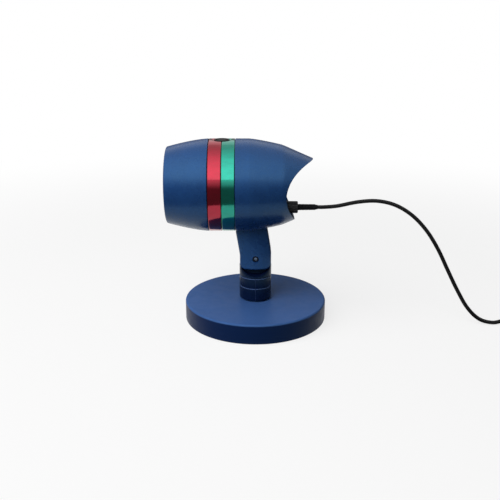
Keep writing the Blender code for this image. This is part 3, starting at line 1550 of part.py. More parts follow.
def coupling_relief(start, end):
    """The (radius, place) points of a taper from the cord up to the coupling's body."""
    return [(0, start), (CORD_RADIUS + 0.5 * MM, start), (0.62 * COUPLING_BODY_RADIUS, end)]


def coupling_pieces():
    spot = (0, COUPLING_START.y, COUPLING_START.z)
    at = coupling_places()
    plug_relief_end = at["start"] + COUPLING_RELIEF_LENGTH
    plug = [
        *coupling_relief(at["start"], plug_relief_end),
        (COUPLING_BODY_RADIUS, plug_relief_end + 0.6 * MM),
        (COUPLING_BODY_RADIUS, at["plug_end"]),
        (COUPLING_PIN_RADIUS, at["plug_end"]),
        (COUPLING_PIN_RADIUS, at["pin_end"]),
        (0, at["pin_end"]),
    ]
    socket_relief = at["end"] - COUPLING_RELIEF_LENGTH
    socket = [
        *coupling_relief(at["end"], socket_relief),
        (COUPLING_BODY_RADIUS, socket_relief - 0.6 * MM),
        (COUPLING_BODY_RADIUS, at["socket"]),
        (COUPLING_PIN_RADIUS + GAP, at["socket"]),
        (COUPLING_PIN_RADIUS + GAP, at["pin_end"] + GAP),
        (0, at["pin_end"] + GAP),
    ]
    dress(turned("coupling_plug", plug, spot, ALONG_X, SMALL), RUBBER)
    dress(turned("coupling_socket", socket, spot, ALONG_X, SMALL), RUBBER)
    nut = ring(
        "coupling_ring", COUPLING_PIN_RADIUS + GAP, COUPLING_RING_RADIUS, at["ring"],
        at["ring"] + COUPLING_RING_LENGTH, 0.6 * MM, at=spot, turn=ALONG_X, steps=SMALL,
    )
    dress(nut, BLACK)


def coil_centre():
    return Vector((coupling_places()["end"] + LEAD_IN + 2 * CORD_RADIUS, COUPLING_START.y + COIL_RADIUS, 0))


def coil_height(layer):
    return COIL_LIFT + CORD_RADIUS + layer * COIL_STEP


def coil_points():
    """The coil's centreline: it spirals in and out again in layers, and climbs at each reversal."""
    centre = coil_centre()
    per_layer = COIL_TURNS + 0.25 / COIL_LAYERS
    steps = round(per_layer * COIL_LAYERS * LOOP_POINTS)
    points = []
    for t in (i / LOOP_POINTS for i in range(steps + 1)):
        layer = min(int(t / per_layer), COIL_LAYERS - 1)
        part = t - layer * per_layer
        inwards = part / per_layer if layer % 2 == 0 else 1 - part / per_layer
        radius = COIL_RADIUS - inwards * per_layer * COIL_STEP
        near = round(t / per_layer)
        climb = np.clip((t - near * per_layer) / 0.5 + 0.5, 0, 1) if 0 < near < COIL_LAYERS else None
        height = layer if climb is None else near - 1 + climb * climb * (3 - 2 * climb)
        angle = math.tau * t - math.pi / 2
        points.append(
            centre + Vector((radius * math.cos(angle), radius * math.sin(angle), coil_height(height)))
        )
    first = points[0] - Vector((2 * CORD_RADIUS, 0, 0))
    return [first, *points, points[-1] + Vector((0, LEAD_OUT, 0))]


def least_gap(points, radius, apart):
    """The least gap of a tube to itself, between stretches more than apart along it."""
    line = np.array(points)
    steps = np.linalg.norm(np.diff(line, axis=0), axis=1)
    along = np.concatenate([[0], np.cumsum(steps)])
    places = np.linspace(0, along[-1], 2400)
    fine = np.stack([np.interp(places, along, line[:, k]) for k in range(3)], axis=1)
    least = np.inf
    for i in range(len(fine)):
        far = places > places[i] + apart
        if far.any():
            least = min(least, np.linalg.norm(fine[far] - fine[i], axis=1).min())
    return least - 2 * radius, along[-1]


def supply_coil():
    points = coil_points()
    gap, length = least_gap(points, CORD_RADIUS, COIL_RADIUS)
    print(f"supply coil {length:.3f} m, least gap to itself {gap * 1000:.2f} mm")
    return dress(tube("supply_coil", points, CORD_RADIUS, 1), CORD)


def supply_lead():
    """The supply lead's short run from the coupling to its coil."""
    start = Vector((coupling_places()["end"] + GAP, COUPLING_START.y, COUPLING_START.z))
    end = coil_points()[0] - Vector((GAP, 0, 0))
    straight = Vector((5 * MM, 0, 0))
    points, _ = smooth([start, start + straight, end - straight, end], 6 * MM)
    return dress(tube("supply_lead", points, CORD_RADIUS), CORD)


def coil_ties():
    """Two ties round the whole bundle; the coil rests on them."""
    centre = coil_centre()
    inner = COIL_RADIUS - (COIL_TURNS + 0.25 / COIL_LAYERS) * COIL_STEP - CORD_RADIUS - 2 * TIE_RADIUS
    outer = COIL_RADIUS + CORD_RADIUS + 2 * TIE_RADIUS
    low = TIE_RADIUS + 0.1 * MM
    high = coil_height(COIL_LAYERS - 1) + CORD_RADIUS + TIE_RADIUS + GAP
    corner = 1.6 * MM
    section = [
        *arc((outer - corner, high - corner), corner, 0, math.pi / 2, 3),
        *arc((inner + corner, high - corner), corner, math.pi / 2, math.pi, 3),
        *arc((inner + corner, low + corner), corner, math.pi, 1.5 * math.pi, 3),
        *arc((outer - corner, low + corner), corner, 1.5 * math.pi, math.tau, 3),
    ]
    for i, angle in enumerate((math.pi / 2 + 0.6, 1.5 * math.pi + 0.6)):
        across = Vector((math.cos(angle), math.sin(angle), 0))
        loop = [centre + across * r + Vector((0, 0, z)) for r, z in section]
        dress(tube(f"coil_tie_{i + 1}", loop, TIE_RADIUS, 1, closed=True), RUBBER)


def adapter():
    entry = coil_points()[-1] + Vector((0, GAP, 0))
    end = ADAPTER_RELIEF_LENGTH
    outline = [
        (0, 0),
        (CORD_RADIUS + 0.4 * MM, 0),
        (CORD_RADIUS + 1.8 * MM, end),
        (0, end),
    ]
    dress(turned("adapter_relief", outline, entry, ALONG_Y, TINY + 4), RUBBER)
    near = entry.y + ADAPTER_RELIEF_LENGTH + GAP
    low = Vector((entry.x - ADAPTER_SIZE.x / 2, near, 0.2 * MM))
    dress(block("adapter_body", low, low + ADAPTER_SIZE, ADAPTER_EDGE), BLACK)
    for i, side in enumerate((-1, 1)):
        y = near + 0.6 * ADAPTER_SIZE.y + side * BLADE_SPACING / 2
        middle = Vector((low.x + ADAPTER_SIZE.x + GAP + BLADE_SIZE.x / 2, y, low.z + ADAPTER_SIZE.z / 2))
        half = BLADE_SIZE / 2
        dress(block(f"adapter_blade_{i + 1}", middle - half, middle + half, 0.3 * MM, 1), BRASS)


# Assembly

base_cover()
base_plate()
base_screws()
ballast_disc()
foot_pad()

lift_axis = axis_empty("lift_axis", (0, 0, BASE_HEIGHT))
turn_axis = axis_empty("turn_axis", (0, 0, COLLAR_FOOT), lift_axis)
tilt_axis = axis_empty("tilt_axis", PIVOT, turn_axis)

stud_washer(lift_axis)
for make in (threaded_stud, knuckle, grip_collar, pivot_bush):
    make(turn_axis)

housing_halves(tilt_axis)
colour_ring("red_ring", RED_X, RED, tilt_axis)
colour_ring("green_ring", GREEN_X, GREEN, tilt_axis)
laser_module("red_laser_module", beam_places()[0], tilt_axis)
laser_module("green_laser_module", beam_places()[1], tilt_axis)
for make in (
    housing_screws,
    front_shell,
    chassis,
    window_seal,
    front_window,
    optic_hood,
    grating_plate,
    diffraction_grating,
    laser_carrier,
    carrier_screws,
    driver_board,
    board_capacitor,
    board_connector,
    wiring_loom,
    sensor_holder,
    sensor_lens,
    photocell,
    rear_panel,
    mode_switch,
    cable_gland,
    gland_nut,
    strain_relief,
    pivot_bolt,
    pivot_nut,
    friction_washers,
):
    make(tilt_axis)

press_axis = axis_empty("press_axis", AXIS + Vector((bezel_face(), 0, -BUTTON_DROP)), tilt_axis)
power_button(press_axis)

lamp_lead()
coupling_pieces()
supply_lead()
supply_coil()
coil_ties()
adapter()
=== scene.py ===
"""Looks of the laser star projector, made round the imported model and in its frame, in metres."""

import math
from contextlib import contextmanager

import bmesh
import bpy
import numpy as np
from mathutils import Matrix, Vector


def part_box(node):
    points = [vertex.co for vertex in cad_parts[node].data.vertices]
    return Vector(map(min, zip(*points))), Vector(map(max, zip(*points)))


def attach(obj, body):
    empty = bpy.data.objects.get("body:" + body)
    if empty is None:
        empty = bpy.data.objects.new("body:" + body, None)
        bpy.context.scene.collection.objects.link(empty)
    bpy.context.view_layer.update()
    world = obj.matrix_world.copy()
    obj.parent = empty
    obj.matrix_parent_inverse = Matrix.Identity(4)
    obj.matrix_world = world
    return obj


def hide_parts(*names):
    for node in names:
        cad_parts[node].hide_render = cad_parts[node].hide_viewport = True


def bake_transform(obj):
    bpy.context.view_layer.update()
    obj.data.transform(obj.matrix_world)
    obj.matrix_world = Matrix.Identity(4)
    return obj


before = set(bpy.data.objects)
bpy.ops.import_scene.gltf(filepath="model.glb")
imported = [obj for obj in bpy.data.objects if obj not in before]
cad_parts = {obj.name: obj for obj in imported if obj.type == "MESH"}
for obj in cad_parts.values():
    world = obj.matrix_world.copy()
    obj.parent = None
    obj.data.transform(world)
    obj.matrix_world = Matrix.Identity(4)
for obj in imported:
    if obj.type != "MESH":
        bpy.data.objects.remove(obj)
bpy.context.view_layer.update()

MM = 0.001
DEG = math.radians(1)
GAP = 0.3 * MM  # between pieces that touch
MERGE = 0.002 * MM  # points closer than this are one point
REACH = 200 * MM  # longer than any cut
ORIGIN = (0, 0, 0)

# Camera
CAMERA_PLACE = (-6.5 * MM, -800 * MM, 351.1 * MM)
CAMERA_PITCH = -18.5 * DEG
CAMERA_LENS = 51.26  # mm
CAMERA_SENSOR = 36.0  # mm
CAMERA_CLIP = (0.02, 50)


def middle(node):
    low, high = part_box(node)
    return (low + high) / 2


def extent(node, axis):
    """A CAD node's start and end along an axis, and its reach to the right side."""
    low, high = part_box(node)
    way = "XYZ".index(axis)
    return low[way], high[way], high.y


# Places that the frame gives
RED_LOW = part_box("red_ring")[0]
GREEN_LOW, GREEN_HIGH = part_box("green_ring")
COVER_LOW, COVER_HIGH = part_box("base_cover")
COLLAR_LOW, COLLAR_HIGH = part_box("grip_collar")
BODY_RADIUS = (GREEN_HIGH.y - GREEN_LOW.y) / 2
AXIS_Z = RED_LOW.z + BODY_RADIUS
FRONT_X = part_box("front_shell")[0].x
RED_X = RED_LOW.x - GAP / 2
GREEN_X = GREEN_LOW.x - GAP / 2
RINGS_END_X = GREEN_HIGH.x + GAP / 2
BASE_RADIUS = COVER_HIGH.x
COLLAR_RADIUS = COLLAR_HIGH.x
PIVOT_Z = middle("pivot_nut").z
AXIS = (0, 0, AXIS_Z)
PIVOT = (0, 0, PIVOT_Z)
GLAND = (0, 0, middle("gland_nut").z)
BUTTON = (0, 0, middle("power_button").z)
SENSOR = (GREEN_X, 0, AXIS_Z)

# Barrel
FRONT_RADIUS = 43.6 * MM
FRONT_TAPER_START = 0.5 * MM
FRONT_TAPER_POWER = 1.5
SHELL_WALL = 2.6 * MM
RING_WALL = 3.2 * MM
LAP = 8 * MM  # of the shells over the chassis under the rings
REAR_TAPER_X = -8.0 * MM
REAR_TAPER_POWER = 1.3
CREASE_X = 30.6 * MM
CREASE_RADIUS = 45.7 * MM
CREASE_SOFTNESS = 0.6 * MM
TAIL_X = 66.4 * MM
TAIL_RADIUS = 30.2 * MM
SCOOP_X = 33.5 * MM
SCOOP_DROP = 6.0 * MM
SCOOP_RADIUS = 35.0 * MM
SCOOP_BREAK = 45 * DEG
SCOOP_TOP_RADIUS = 45.0 * MM
SCOOP_FOOT_BREAK = 25 * DEG
PANEL_INSET = 1.8 * MM
PANEL_THICKNESS = 2.6 * MM
LIP_WIDTH = 4.6 * MM
LIP_THICKNESS = 4.0 * MM
COUNTERSINK_RADIUS = 13.2 * MM
COUNTERSINK_DEPTH = 2.4 * MM
SENSOR_HOLE = 9.1 * MM
SENSOR_RAISED = 0.8 * MM  # the cup's rim over the CAD node's
LENS_RAISED = 0.2 * MM
LENS_BULGE = 0.9 * MM

# Neck and screw post
SEAM = 0.3 * MM
NECK_WIDTH = 36.7 * MM
NECK_DEPTH = 30.0 * MM
NECK_FOOT = 13.6 * MM
NECK_CORNER = 6.5 * MM
NECK_BEND = 20 * MM
NECK_EDGE = 2.0 * MM
NECK_CROWN = 36.0 * MM  # radius of the cheeks' bulge
CROWN_FALL = 4.2 * MM  # what it takes off a cheek's borders
NECK_LEAN = 9.3 * DEG
NECK_FRONT_STRAIGHT = 3.0 * MM
NECK_REAR_STRAIGHT = 7.0 * MM
NECK_TOP = 36.8 * MM  # above the pivot, inside the barrel's wall
FORK_HALF = 6.4 * MM
FORK_RISE = 17.0 * MM
BOLT_BORE = 2.7 * MM
COUNTERBORE_RADIUS = 3.75 * MM
COUNTERBORE_DEPTH = 3.4 * MM
NUT_POCKET_RADIUS = 4.5 * MM
NUT_POCKET_Y = 11.2 * MM
SADDLE_RADIUS = 20.81 * MM
TONGUE_RADIUS = 14.0 * MM
TONGUE_HALF = 5.0 * MM
SHOULDER_DROP = 10.5 * MM
GROOVE_RISE = 14.6 * MM
GROOVE_WIDTH = 0.9 * MM
GROOVE_DEPTH = 0.6 * MM
GRIP_GROOVES = 6
THREAD_RADIUS = 8.8 * MM
THREAD_PITCH = 2.3 * MM
THREAD_DEPTH = 0.9 * MM
SOCKET_RADIUS = 9.3 * MM
SOCKET_FLOOR = 11.9 * MM
SCREW_SEAT = 8.0 * MM  # from the seam to the housing screws' heads
SCREW_SINK = 3.1 * MM
SCREW_BORE = 1.8 * MM
SCREW_REACH = 10 * MM  # from the seam to the bores' ends in the left half
POST_RADIUS = 4.2 * MM
NECK_SCREW = (-4 * MM, PIVOT_Z + 26.85 * MM)
SCREW_PLACES = [(8 * MM, AXIS_Z + 40.6 * MM), (18 * MM, AXIS_Z - 36.6 * MM), NECK_SCREW]
NUT_RIBS = 14
BEAMS = (-9 * MM, 9 * MM)
BASE_SCREW_CIRCLE = 64.4 * MM

# Stage
LAMP_PLACE = (-1.1, -0.95, 1.6)
LAMP_SIZE = (2.3, 2.0)
LAMP_POWER = 48
WORLD_FILL = 0.1
FLOOR_HALF = 6.0
FLOOR_BOUNCE = 0.12
FLOOR_LIT = 0.22  # share of the floor's white near the object that the lamps give, so that shadows show
FLOOR_FADE = (0.35, 1.1)  # from here on the white is less and less the lamps'
CARD_NEAR = 0.247
CARD_FAR = 1.6
CARD_LIFT = 3 * MM
CARD_TOP = 0.905
CARD_TONES = (0.12, 1.1)  # at the foot and at the top
CARD_DARK = (0.12, 0.35)  # the same on the floor and behind the object
CARD_FADE = (0.2, 0.874)  # heights between which it grows lighter
SKY_RADIUS = 1.5
SKY_HALF = 1.3
SKY_ARC = (25.5 * DEG, 128 * DEG)  # from in front of the object, over it, to behind it
SKY_TONES = (0.75, 2.3)  # behind and in front

# Cord
CORD_RADIUS = 2.25 * MM
LEAD_START = Vector((72.3, 0, 136.0)) * MM
COUPLING_START = Vector((306, -30, 8)) * MM
COUPLING_END = Vector((360.6, -30, 8)) * MM
COUPLING_AXIS = (0, COUPLING_START.y, COUPLING_START.z)
LEAD_IN = 45 * MM
LEAD_OUT = 24 * MM
COIL_PITCH = 5 * MM  # from turn to turn and from layer to layer
COIL_STEPS = 36  # a turn
COIL_LAYERS = 4
COIL_TURNS = 3
LAYER_TURNS = COIL_TURNS + 0.25 / COIL_LAYERS
COIL_RADIUS = 34.5 * MM
COIL_LIFT = 1.9 * MM
COIL_CENTRE = Vector((COUPLING_END.x + LEAD_IN + 2 * CORD_RADIUS, COUPLING_END.y + COIL_RADIUS, 0))

# The lamp lead's route: shares of the way to the coupling along X and along Y, and of its height
LAMP_LEAD_ROUTE = [
    (0.097, 0, 1.01), (0.2, 0, 1.046), (0.294, 0.033, 1.056), (0.384, 0.1, 1.022), (0.468, 0.2, 0.936),
    (0.541, 0.317, 0.806), (0.601, 0.45, 0.646), (0.652, 0.583, 0.47), (0.704, 0.717, 0.294),
    (0.759, 0.833, 0.137), (0.821, 0.933, 0.036), (0.89, 0.993, 0.006), (0.95, 1, 0.03),
]


# Materials


def colour(code):
    """A colour such as 2f5c94 as the linear values that a shader takes."""
    parts = [int(code[i : i + 2], 16) / 255 for i in (0, 2, 4)]
    return [p / 12.92 if p <= 0.04045 else ((p + 0.055) / 1.055) ** 2.4 for p in parts] + [1]


def add(tree, kind, inputs=None, output=0, **settings):
    """A new node's output. Its inputs are set to values, or joined to other nodes' outputs."""
    node = tree.nodes.new("ShaderNode" + kind)
    for key, value in settings.items():
        setattr(node, key, value)
    for key, value in (inputs or {}).items():
        if isinstance(value, bpy.types.NodeSocket):
            tree.links.new(value, node.inputs[key])
        else:
            node.inputs[key].default_value = value
    return node.outputs[output]


def ramp(tree, value, reach, out, form="LINEAR"):
    """The value's stretch between the two ends of reach, carried over to those of out."""
    inputs = {"Value": value, "From Min": reach[0], "From Max": reach[1], "To Min": out[0], "To Max": out[1]}
    return add(tree, "MapRange", inputs, "Result", interpolation_type=form)


class Look:
    """A Principled material with its procedural colour, gloss and grain, and the slot that it fills."""

    def __init__(self, name, roughness, metallic=0.0, slot=None, **sockets):
        self.slot = slot or name
        self.material = bpy.data.materials.new(name)
        self.material.use_nodes = True
        self.tree = self.material.node_tree
        self.shader = self.tree.nodes["Principled BSDF"]
        for socket, value in {"Roughness": roughness, "Metallic": metallic, **sockets}.items():
            self.shader.inputs[socket.replace("_", " ")].default_value = value
        self.place = self.add("TexCoord", output="Object")
        self.colour = self.normal = None

    def add(self, kind, inputs=None, output=0, **settings):
        return add(self.tree, kind, inputs, output, **settings)

    def feed(self, socket, source):
        self.tree.links.new(source, self.shader.inputs[socket])
        return self

    def spread(self, value, low, high, out_low=0.0, out_high=1.0):
        return ramp(self.tree, value, (low, high), (out_low, out_high))

    def stretched(self, stretch):
        if stretch is None:
            return self.place
        return self.add("Mapping", {"Scale": stretch, "Vector": self.place}, "Vector")

    def noise(self, size, detail=2.0, stretch=None):
        """Soft blotches of about size, in metres."""
        inputs = {"Scale": 1 / size, "Detail": detail, "Vector": self.stretched(stretch)}
        return self.add("TexNoise", inputs, "Fac")

    def cells(self, size, feature="F1"):
        return self.add("TexVoronoi", {"Scale": 1 / size, "Vector": self.place}, "Distance", feature=feature)

    def waves(self, size, direction, **inputs):
        inputs = {"Scale": 1 / size, "Vector": self.place, **inputs}
        return self.add("TexWave", inputs, "Fac", wave_type="BANDS", bands_direction=direction)

    def height(self):
        return self.add("SeparateXYZ", {"Vector": self.place}, "Z")

    def band(self, z, half):
        """1 at a height, falling to 0 at half the band's width above and below it."""
        away = self.add("Math", {0: self.height(), 1: z}, operation="SUBTRACT")
        return self.spread(self.add("Math", {0: away}, operation="ABSOLUTE"), 0.4 * half, half, 1, 0)

    def distance(self, axis, height=0.0):
        """Metres from the line along an axis through (0, 0, height)."""
        flat = [0 if axis == name else 1 for name in "XYZ"]
        inputs = {"Location": (0, 0, -height), "Scale": flat, "Vector": self.place}
        away = self.add("Mapping", inputs, "Vector")
        return self.add("VectorMath", {0: away}, "Value", operation="LENGTH")

    def most(self, first, *others):
        """The greatest of several values."""
        for other in others:
            first = self.add("Math", {0: first, 1: other}, operation="MAXIMUM")
        return first

    def mixed(self, factor, first, second):
        """Two colours, each a code or a node's output, mixed by the factor."""
        first, second = (colour(c) if isinstance(c, str) else c for c in (first, second))
        return self.add("Mix", {0: factor, 6: first, 7: second}, 2, data_type="RGBA")

    def paint(self, source):
        self.colour = source
        return self.feed("Base Color", source)

    def tone(self, code, other, size, stretch=None):
        """Drifts between two close colours over blotches of about size."""
        blotches = self.spread(self.noise(size, 3.0, stretch), 0.35, 0.65)
        return self.paint(self.mixed(blotches, code, other))

    def gloss(self, low, high, size, stretch=None):
        """Roughness that drifts between two values."""
        return self.feed("Roughness", self.spread(self.noise(size, stretch=stretch), 0.35, 0.65, low, high))

    def grain(self, height, depth, strength):
        """Relief of a depth in metres, on top of what is there."""
        inputs = {"Strength": strength, "Distance": depth, "Height": height}
        if self.normal is not None:
            inputs["Normal"] = self.normal
        self.normal = self.add("Bump", inputs, "Normal")
        return self.feed("Normal", self.normal)


BLUE_GLOSS = (0.3, 0.66, 1.0, 1.0)


def moulded(name, code, other, roughness, specular=0.5, **sockets):
    """Injection-moulded plastic: spark-eroded grain, colour and gloss that drift a little."""
    look = Look(name, roughness, Specular_IOR_Level=specular, **sockets)
    look.tone(code, other, 22 * MM).gloss(roughness - 0.04, roughness + 0.05, 9 * MM)
    look.grain(look.noise(0.5 * MM, 3), 0.02 * MM, 0.5)
    return look.grain(look.noise(30 * MM, 1), 0.12 * MM, 0.25)


def stand_plastic():
    """The body's plastic, polished, with painted shade that makes it darker round the skirt."""
    look = moulded("stand_plastic", "4064a0", "3e619b", 0.4, 0.15, Specular_Tint=BLUE_GLOSS)
    # painted shade: below the top's rounded rim the colour is mixed to a dark navy, so the skirt reads as
    # lit less than the top
    above = look.spread(look.height(), COVER_HIGH.z - 2.6 * MM, COVER_HIGH.z - 1.4 * MM)
    return look.paint(look.mixed(above, "0a1e48", look.colour))


def dark_plastic(name):
    return moulded(name, "081534", "07122e", 0.3, 0.35, slot="navy_plastic", Specular_Tint=BLUE_GLOSS)


def collar_plastic():
    """The knuckle's plastic, with painted highlights: paler along the collar's edges and in its grooves."""
    look = dark_plastic("collar_plastic")
    groove = COLLAR_LOW.z + GROOVE_RISE + GROOVE_WIDTH / 2
    # painted highlights: the collar's top rim, the line of its groove and the insides of its upright grooves
    # are mixed towards a pale blue
    rim, line = look.band(COLLAR_HIGH.z, MM), look.band(groove, 0.8 * MM)
    sunk = look.spread(look.distance("Z"), COLLAR_RADIUS - 0.25 * MM, COLLAR_RADIUS - 0.15 * MM, 0.35, 0)
    return look.paint(look.mixed(look.most(rim, line, sunk), look.colour, "4a5f8c"))


def tinted(name, code, other, slot):
    """Glossy see-through plastic over a bright core."""
    look = Look(name, 0.13, 0.9, slot, Coat_Weight=0.6, Coat_Roughness=0.05)
    look.tone(code, other, 12 * MM, stretch=(1, 3, 3)).gloss(0.1, 0.16, 7 * MM)
    return look.grain(look.noise(16 * MM, 1), 0.03 * MM, 0.15)


def rubber():
    look = Look("black_rubber", 0.72, Specular_IOR_Level=0.12)
    look.tone("101013", "141417", 6 * MM).gloss(0.65, 0.79, 4 * MM)
    return look.grain(look.noise(0.35 * MM, 4), 0.03 * MM, 0.6)


def brushed(name, code, other, roughness, along, metallic=1.0, slot=None):
    """Metal with fine lines that run along the short side of the stretch given."""
    look = Look(name, roughness, metallic, slot).tone(code, other, 3 * MM, stretch=along)
    look.gloss(roughness - 0.06, roughness + 0.08, 0.8 * MM, along)
    return look.grain(look.noise(0.25 * MM, 2, along), 0.01 * MM, 0.5)


def bolt_steel():
    """Blackened steel, with a painted glint that makes it paler in and round the socket."""
    look = brushed("bolt_steel", "121c2e", "0d1626", 0.3, (1, 1, 1), 0.6, "zinc_steel")
    # painted highlight: within 1.2 to 1.9 mm of the bolt's axis the colour turns a pale steel blue
    painted_glint = look.spread(look.distance("Y", PIVOT_Z), 1.2 * MM, 1.9 * MM, 1, 0)
    return look.paint(look.mixed(painted_glint, look.colour, "7f93ad"))


def cord_jacket():
    look = Look("cord_jacket", 0.46, Specular_IOR_Level=0.15)
    look.tone("070708", "0d0d0f", 8 * MM).gloss(0.38, 0.52, 3 * MM)
    look.grain(look.noise(0.3 * MM, 3), 0.02 * MM, 0.5)
    return look.grain(look.noise(6 * MM, 1), 0.08 * MM, 0.3)


def clear_glass():
    look = Look("clear_glass", 0.02, Transmission_Weight=1.0, IOR=1.49)
    look.paint(look.mixed(look.spread(look.noise(15 * MM), 0.3, 0.7), "e8f0f0", "f4f8f8"))
    return look.gloss(0.02, 0.05, 6 * MM)


def smoked_lens():
    look = Look("smoked_lens", 0.3, Specular_IOR_Level=0.1)
    return look.tone("050507", "0a0a0f", 3 * MM).gloss(0.26, 0.34, 2 * MM)


def grating_film():
    look = Look("grating_film", 0.12, 0.3, "clear_glass", Transmission_Weight=0.4, Thin_Film_Thickness=520.0)
    return look.tone("b9c4cc", "d4dade", 5 * MM).grain(look.waves(0.8 * MM, "Y"), 0.01 * MM, 0.4)


def circuit_board():
    """Green mask over copper runs, with bare rings of solder."""
    look = Look("circuit_board", 0.42)
    runs = look.spread(look.cells(3.2 * MM, "DISTANCE_TO_EDGE"), 0.03, 0.07)
    mask = look.mixed(runs, "2d7a48", "174a2c")
    pads = look.spread(look.cells(4.5 * MM), 0.12, 0.16)
    return look.paint(look.mixed(pads, "b9b6a4", mask)).grain(runs, 0.03 * MM, 0.5)


def foot_foam():
    look = Look("foot_foam", 0.92, Specular_IOR_Level=0.2)
    look.tone("151619", "232428", 2 * MM).gloss(0.88, 0.97, 3 * MM)
    return look.grain(look.cells(0.7 * MM), 0.15 * MM, 0.7)


def cell_face():
    """The winding track of a light-dependent resistor."""
    look = Look("photocell", 0.4)
    track = look.spread(look.waves(2.2 * MM, "X", Distortion=3.0), 0.4, 0.6)
    return look.paint(look.mixed(track, "c56a2a", "6f2e14"))


BLUE = moulded("blue_plastic", "1e457e", "1d4279", 0.27, 0.6, Specular_Tint=BLUE_GLOSS)
STAND = stand_plastic()
NAVY = dark_plastic("navy_plastic")
COLLAR = collar_plastic()
RED = tinted("red_plastic", "a4142f", "9c132c", "red_tinted_plastic")
GREEN = tinted("green_plastic", "089780", "078e79", "green_tinted_plastic")
BLACK = moulded("black_plastic", "0c0d10", "101115", 0.4, 0.3)
RUBBER = rubber()
STUD = moulded("stud_plastic", "1d1a3a", "191634", 0.38)
STEEL = brushed("zinc_steel", "a8abb0", "9a9da3", 0.32, (1, 1, 1))
BOLT = bolt_steel()
BRASS = brushed("brass", "b8934a", "a98440", 0.3, (1, 4, 1))
IRON = brushed("ballast_steel", "57595e", "4b4d52", 0.5, (1, 8, 1))
ALUMINIUM = brushed("aluminium", "b9bcc1", "adb0b6", 0.36, (6, 1, 1))
JACKET = cord_jacket()
GLASS = clear_glass()
FILM = grating_film()
SMOKE = smoked_lens()
BOARD = circuit_board()
PARTS = moulded("circuit_parts", "2b2b30", "232327", 0.5)
FOAM = foot_foam()
CELL = cell_face()


# Building tools


def new_object(name, data):
    thing = bpy.data.objects.new(name, data)
    bpy.context.scene.collection.objects.link(thing)
    return thing


def settle(thing):
    """Applies the modifiers."""
    bpy.context.view_layer.update()
    graph = bpy.context.evaluated_depsgraph_get()
    mesh = bpy.data.meshes.new_from_object(thing.evaluated_get(graph))
    thing.modifiers.clear()
    thing.data = mesh
    return thing


@contextmanager
def edited(mesh):
    """The mesh's shape, whose edits go back into the mesh."""
    shape = bmesh.new()
    shape.from_mesh(mesh)
    yield shape
    shape.to_mesh(mesh)
    shape.free()


def bevelled(shape, edges, width, segments):
    bmesh.ops.bevel(shape, geom=edges, offset=width, segments=segments, profile=0.5, affect="EDGES")


def weld(mesh):
    with edited(mesh) as shape:
        bmesh.ops.remove_doubles(shape, verts=shape.verts, dist=MERGE)
        bmesh.ops.recalc_face_normals(shape, faces=shape.faces)


def from_rows(name, rows, closed_round=True, caps=False):
    """An object with a face between each two points of neighbouring rows, its two ends capped if wanted."""
    rows = np.asarray(rows, float)
    count, width = rows.shape[:2]
    faces = []
    for i in range(count - 1):
        for j in range(width if closed_round else width - 1):
            k = (j + 1) % width
            faces.append((i * width + j, i * width + k, (i + 1) * width + k, (i + 1) * width + j))
    if caps:
        faces.append(tuple(range(width - 1, -1, -1)))
        faces.append(tuple((count - 1) * width + j for j in range(width)))
    mesh = bpy.data.meshes.new(name)
    mesh.from_pydata(rows.reshape(-1, 3).tolist(), [], faces)
    weld(mesh)
    return new_object(name, mesh)


def rounded(corners, step=12 * DEG):
    """The closed outline through corners (x, y, radius), each corner rounded to its radius."""
    points = []
    for i, (x, y, radius) in enumerate(corners):
        here = Vector((x, y))
        back = Vector(corners[i - 1][:2]) - here
        on = Vector(corners[(i + 1) % len(corners)][:2]) - here
        if radius <= 0:
            points.append((x, y))
            continue
        half = back.angle(on) / 2
        reach = min(radius / math.tan(half), 0.49 * back.length, 0.49 * on.length)
        radius = reach * math.tan(half)
        back.normalize()
        on.normalize()
        centre = here + (back + on).normalized() * radius / math.sin(half)
        start, end = here + back * reach - centre, here + on * reach - centre
        turn = start.angle(end)
        count = max(1, math.ceil(turn / step))
        for k in range(count + 1):
            share = k / count
            spot = start * math.sin((1 - share) * turn) + end * math.sin(share * turn)
            points.append(tuple(centre + spot / math.sin(turn)))
    return points


def arc(centre, radius, start, end, count):
    angles = np.linspace(start, end, count)
    return [(centre[0] + radius * math.cos(a), centre[1] + radius * math.sin(a)) for a in angles]


def circle(radius, count, start=0.0, centre=(0, 0)):
    return arc(centre, radius, start, start + math.tau, count + 1)[:-1]


def divided(line, step, size):
    """Points along a line of corners, without its last one; size says how long the way between two is."""
    points = []
    for a, b in zip(line, line[1:]):
        count = max(1, round(size(Vector(b) - Vector(a)) / step))
        points += [tuple(Vector(a).lerp(Vector(b), t / count)) for t in range(count)]
    return points


def placed(rows, axis, centre):
    """Rows of (across, across, along) as places round a centre, for an axis that they run along."""
    return np.roll(np.array(rows), "XYZ".index(axis) + 1, axis=2) + np.array(centre)


def turned(name, outline, axis, centre, steps):
    """A solid turned about an axis through centre, from an outline of (radius, place along the axis)."""
    outline = np.asarray(outline, float)
    solid = outline[0][0] < MERGE and outline[-1][0] < MERGE
    radius, along = outline[:, 0], outline[:, 1]
    angles = np.linspace(0, math.tau, steps + 1)
    rows = [np.column_stack([radius * math.cos(a), radius * math.sin(a), along]) for a in angles]
    return from_rows(name, placed(rows, axis, centre), not solid)


def fluted(name, outline, centre, ribs, power, depth, steps):
    """As turned about X, with flutes along it, of a depth that goes by radius and place."""
    rows = []
    for angle in np.linspace(0, math.tau, steps + 1):
        share = (0.5 - 0.5 * math.cos(ribs * angle)) ** power
        sunk = [(r - share * depth(r, x), x) for r, x in outline]
        rows.append([(r * math.cos(angle), r * math.sin(angle), x) for r, x in sunk])
    return from_rows(name, placed(rows, "X", centre))


